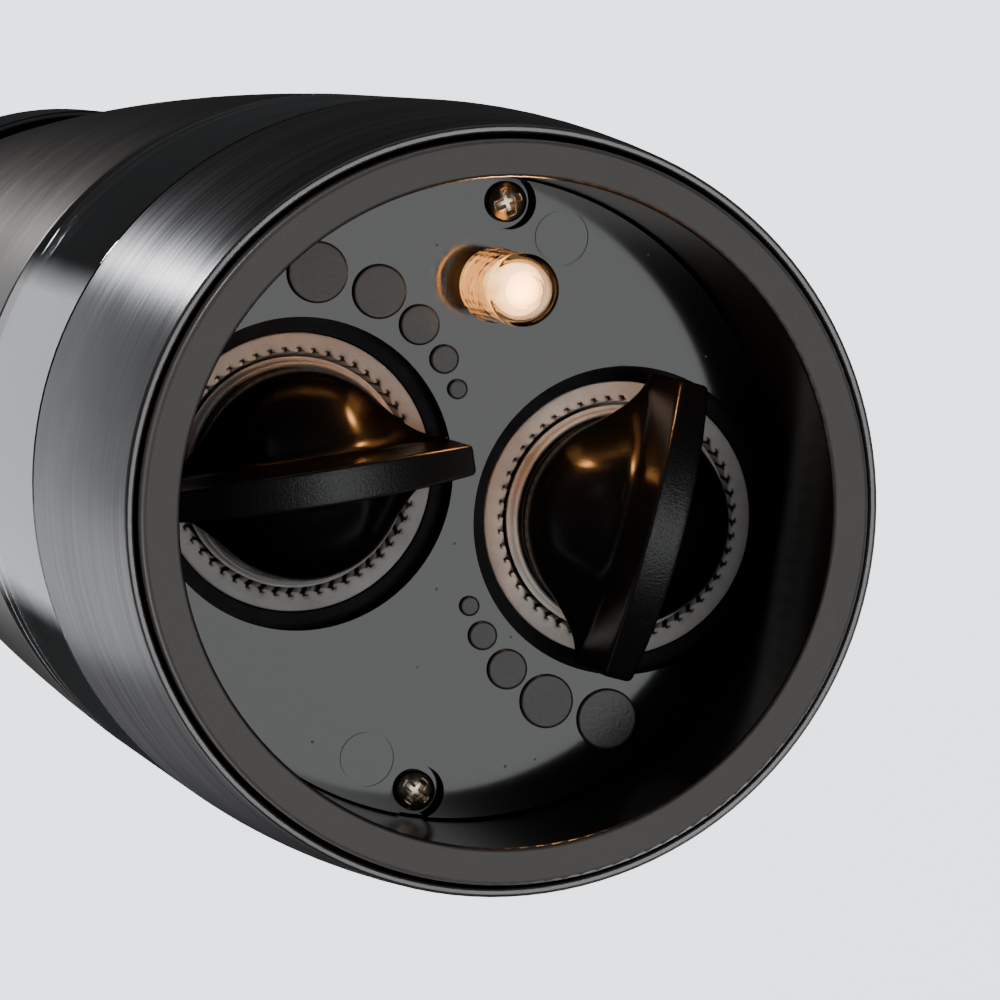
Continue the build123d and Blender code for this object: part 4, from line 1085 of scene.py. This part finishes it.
@dataclass
class Lamp:
    """The clear lamp cap, the lit diode inside it and the light it throws."""

    radius: float = 3.18
    wall: float = 0.55
    tip_round: float = 0.9
    flange_thick: float = 0.9
    tip_wall: float = 0.95
    flutes: int = 24
    flute_depth: float = 0.004
    glow: float = 0.02
    glow_tint: Rgb = (1.0, 0.42, 0.12)
    glow_r: float = 0.0022
    glow_below: float = 0.6

    def build(self) -> bpy.types.Object:
        """A turned cup, with a lens ring on its face and fine flutes up its side."""
        low, high = level("lamp_lens"), level("lamp_lens", True)
        flange = (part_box("lamp_lens")[1].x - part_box("lamp_lens")[0].x) / 2 / MM
        inside = self.radius - self.wall
        corners = [
            (0.02, low + 0.25, 0.0),
            (1.25, low + 0.2, 0.12),
            (1.55, low, 0.15),
            (self.radius, low, self.tip_round),
            (self.radius, high - self.flange_thick, 0.05),
            (flange - 0.02, high - self.flange_thick, 0.1),
            (flange - 0.02, high, 0.05),
            (inside, high, 0.05),
            (inside, low + self.tip_wall, 0.5),
            (0.02, low + self.tip_wall, 0.0),
        ]
        profile = refined(rounded(corners, 8, False), 0.5, False)
        columns = self.flutes * 8
        points = turned(profile, columns).reshape(len(profile), columns, 3)
        height = profile[:, 1][:, None]
        outer = np.abs(profile[:, 0][:, None] - self.radius) < 0.02
        side = outer * np.clip((height - low - 1.2) / 0.8, 0, 1)
        dip = 1 - side * self.flute_depth * (1 + np.cos(self.flutes * round_angles(columns))) / 2
        points[..., :2] *= dip[..., None]
        x, y = middle("lamp_lens")
        points = (points + np.array([x, y, 0.0])).reshape(-1, 3)
        ring = np.arange(columns)[None, :]
        faces = [closed_quads(len(profile), columns), ring, ring + len(points) - columns]
        piece = add_piece("lamp_cap", points, faces, FINISHES["lamp_clear"])
        self.light(x, y, low)
        return settle(piece, "base", "lamp_clear", "lamp_lens")

    def light(self, x: float, y: float, tip: float) -> None:
        """Adds the warm light that the diode throws on the plate and the knobs."""
        lamp = bpy.data.lights.new("lamp_tip", "POINT")
        lamp.energy = self.glow
        lamp.color = self.glow_tint
        lamp.shadow_soft_size = self.glow_r
        holder = bpy.data.objects.new("lamp_tip", lamp)
        holder.location = (x * MM, y * MM, (tip - self.glow_below) * MM)
        bpy.context.scene.collection.objects.link(holder)


# Surroundings


@dataclass(frozen=True)
class SoftBox:
    """A rectangular light that faces the mill's foot.

    It hangs in the direction toward, at a distance of reach metres, and its two sides are in
    metres. One that isn't mirrored lights matt surfaces only.
    """

    name: str
    toward: Triple
    reach: float
    size: Place
    radiance: float
    tint: Rgb
    mirrored: bool = True

    def hang(self) -> None:
        """Adds the light, whose power is its radiance times pi and its area."""
        data = bpy.data.lights.new(self.name, "AREA")
        data.shape = "RECTANGLE"
        data.size, data.size_y = self.size
        data.energy = self.radiance * math.pi * self.size[0] * self.size[1]
        data.color = self.tint
        box = bpy.data.objects.new(self.name, data)
        way = Vector(self.toward).normalized()
        box.location = Vector((0, 0, PLATE_Z * MM)) + way * self.reach
        box.rotation_euler = way.to_track_quat("Z", "Y").to_euler()
        box.visible_glossy = self.mirrored
        box.visible_transmission = self.mirrored
        bpy.context.scene.collection.objects.link(box)


COOL: Rgb = (0.93, 0.97, 1.0)
SOFTBOXES = (
    SoftBox("plate_light", (0.255, 0.046, -0.966), 0.6, (0.20, 0.20), 3.1, (0.98, 1.0, 1.0)),
    SoftBox("collar_strip", (-0.62, -0.42, 0.66), 0.9, (0.035, 0.6), 60.0, COOL),
    SoftBox("side_fill", (-0.72, 0.42, 0.5), 0.9, (0.35, 0.6), 1.6, COOL),
    SoftBox("dome_glint", (-0.36, -0.31, -0.88), 0.7, (0.03, 0.03), 5.0, (0.7, 0.8, 1.0)),
    SoftBox("overhead", (0.5, 0.45, 0.74), 0.9, (0.5, 0.5), 4.0, (1.0, 0.99, 0.97)),
    SoftBox("recess_wash", (0.05, 0.1, -0.99), 0.7, (0.5, 0.5), 0.45, (0.95, 0.98, 1.0), False),
    SoftBox("slant_wash", (-0.78, 0.05, -0.62), 0.7, (0.25, 0.25), 8.0, (1.0, 0.94, 0.88), False),
)


@dataclass
class Studio:
    """The pale room, its soft lights, the floor under the mill and the camera."""

    lens: float = 198.0
    sensor: float = 36.0
    distance: float = 462.0
    right: Triple = (0.95693, -0.15456, -0.24574)
    away: Triple = (0.25545, 0.04611, 0.96572)
    offset: Place = (0.9766, 1.2157)
    room: Rgb = (2.25, 2.45, 2.7)
    room_light_side: Rgb = (2.9, 3.0, 3.05)
    table: Rgb = (0.8, 0.81, 0.83)
    table_half: float = 1.5
    table_gap: float = 0.0002

    def camera(self) -> None:
        """A long lens below the foot, looking up into the recess."""
        right = Vector(self.right).normalized()
        away = Vector(self.away).normalized()
        down = away.cross(right).normalized()
        right = down.cross(away)
        place = -(right * self.offset[0] + down * self.offset[1] + away * self.distance) * MM
        data = bpy.data.cameras.new("camera")
        data.lens = self.lens
        data.sensor_width = self.sensor
        data.clip_start = 0.01
        eye = bpy.data.objects.new("camera", data)
        turn = Matrix((right, -down, -away)).transposed()
        eye.matrix_world = Matrix.Translation(place) @ turn.to_4x4()
        bpy.context.scene.collection.objects.link(eye)
        bpy.context.scene.camera = eye

    def surroundings(self) -> None:
        """Pale to the eye, and to the mill a dark room with bright panels.

        Two windows are smooth steps of the way's dot product with their own directions. A band of
        panels round the horizon follows the sine of three times the bearing and is dimmed on one
        side, and light from above reaches matt surfaces only.
        """
        world = bpy.data.worlds.new("studio")
        world.use_nodes = True
        bpy.context.scene.world = world
        bench = Bench(world.node_tree)
        way = bench.add("ShaderNodeTexCoord")["Generated"]
        across, deep, height = bench.axes(way)
        seen = bench.add("ShaderNodeLightPath")["Is Camera Ray"]
        warmth = (across * 0.5 + deep * 0.2).ramp(-0.5, 0.5)
        pale = bench.blend(warmth, self.room_light_side, self.room)
        facing = across * -0.55 + deep * 0.62 + height * 0.56
        mirrored = across * -0.24 + deep * 0.10 + height * 0.966
        window = facing.ramp(0.78, 0.97, 0.0, 0.7) + mirrored.ramp(0.967, 0.992, 0.0, 2.4)
        dim = height.ramp(-0.3, 0.9, 0.01, 0.03)
        band = bench.maths("ABSOLUTE", height).ramp(0.15, 0.62, 1.0, 0.0)
        bearing = bench.maths("ARCTAN2", deep, across)
        panels = bench.maths("SINE", bearing * 3.0 + 0.6).ramp(-0.4, 0.6, 0.25, 1.0)
        shade = (deep * -1.0 - across * 0.3).ramp(0.5, 0.95, 1.0, 0.45)
        horizon = band * panels * shade * 0.75
        scattered = bench.add("ShaderNodeLightPath")["Is Diffuse Ray"] * height.ramp(-0.05, 0.3, 0.0, 1.4)
        soft = bench.blend(window + dim + horizon + scattered, BLACK, (0.93, 0.96, 1.0))
        colour = bench.blend(seen, soft, pale)
        back = bench.add("ShaderNodeBackground", {}, {"Color": colour, "Strength": 1.0})["Background"]
        bench.add("ShaderNodeOutputWorld", {}, {"Surface": back})

    def floor(self) -> None:
        """A pale table top that shows only from above and leaves the light below alone."""
        size = self.table_half
        mesh = bpy.data.meshes.new("floor")
        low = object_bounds()[0][2] - self.table_gap
        corners = [(-size, -size, low), (size, -size, low), (size, size, low), (-size, size, low)]
        mesh.from_pydata(corners, [], [(0, 1, 2, 3)])
        material = bpy.data.materials.new("floor")
        material.use_nodes = True
        bench = Bench(material.node_tree)
        top = bench.surface({"Base Color": self.table, "Roughness": 0.6})
        gone = bench.add("ShaderNodeBsdfTransparent")["BSDF"]
        under = bench.add("ShaderNodeNewGeometry")["Backfacing"]
        both = bench.add("ShaderNodeMixShader", {}, {0: under, 1: top, 2: gone})["Shader"]
        bench.add("ShaderNodeOutputMaterial", {}, {"Surface": both})
        mesh.materials.append(material)
        plane = bpy.data.objects.new("floor", mesh)
        bpy.context.scene.collection.objects.link(plane)
        plane.visible_diffuse = False
        plane.visible_glossy = False
        plane.visible_transmission = False
        plane.visible_shadow = False
        plane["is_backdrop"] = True

    def build(self) -> None:
        """Camera, lights, world and floor."""
        self.camera()
        for box in SOFTBOXES:
            box.hang()
        self.surroundings()
        self.floor()


def dress_nodes(nodes: dict[str, bpy.types.Object]) -> None:
    """Gives every CAD node the finish of its material slot."""
    for name, node in nodes.items():
        for slot in node.material_slots:
            key = slot.material.name.split(".")[0] if slot.material else ""
            if key in FINISHES:
                slot.material = FINISHES[key].material()
            elif not key.startswith("finish_"):
                log.warning("%s has no finish for %s", name, key)


def main() -> None:
    """Builds everything in order."""
    logging.basicConfig(level=logging.INFO, format="%(message)s")
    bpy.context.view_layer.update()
    dress_nodes(frame["nodes"])
    for side, angle in FIN_ANGLES.items():
        Knob(side, angle).build()
        Stator(side).build()
        RotorLip(side).build()
    GradeDots().build()
    PlateScrews().build()
    Lamp().build()
    Studio().build()


if __name__ == "__main__":
    main()
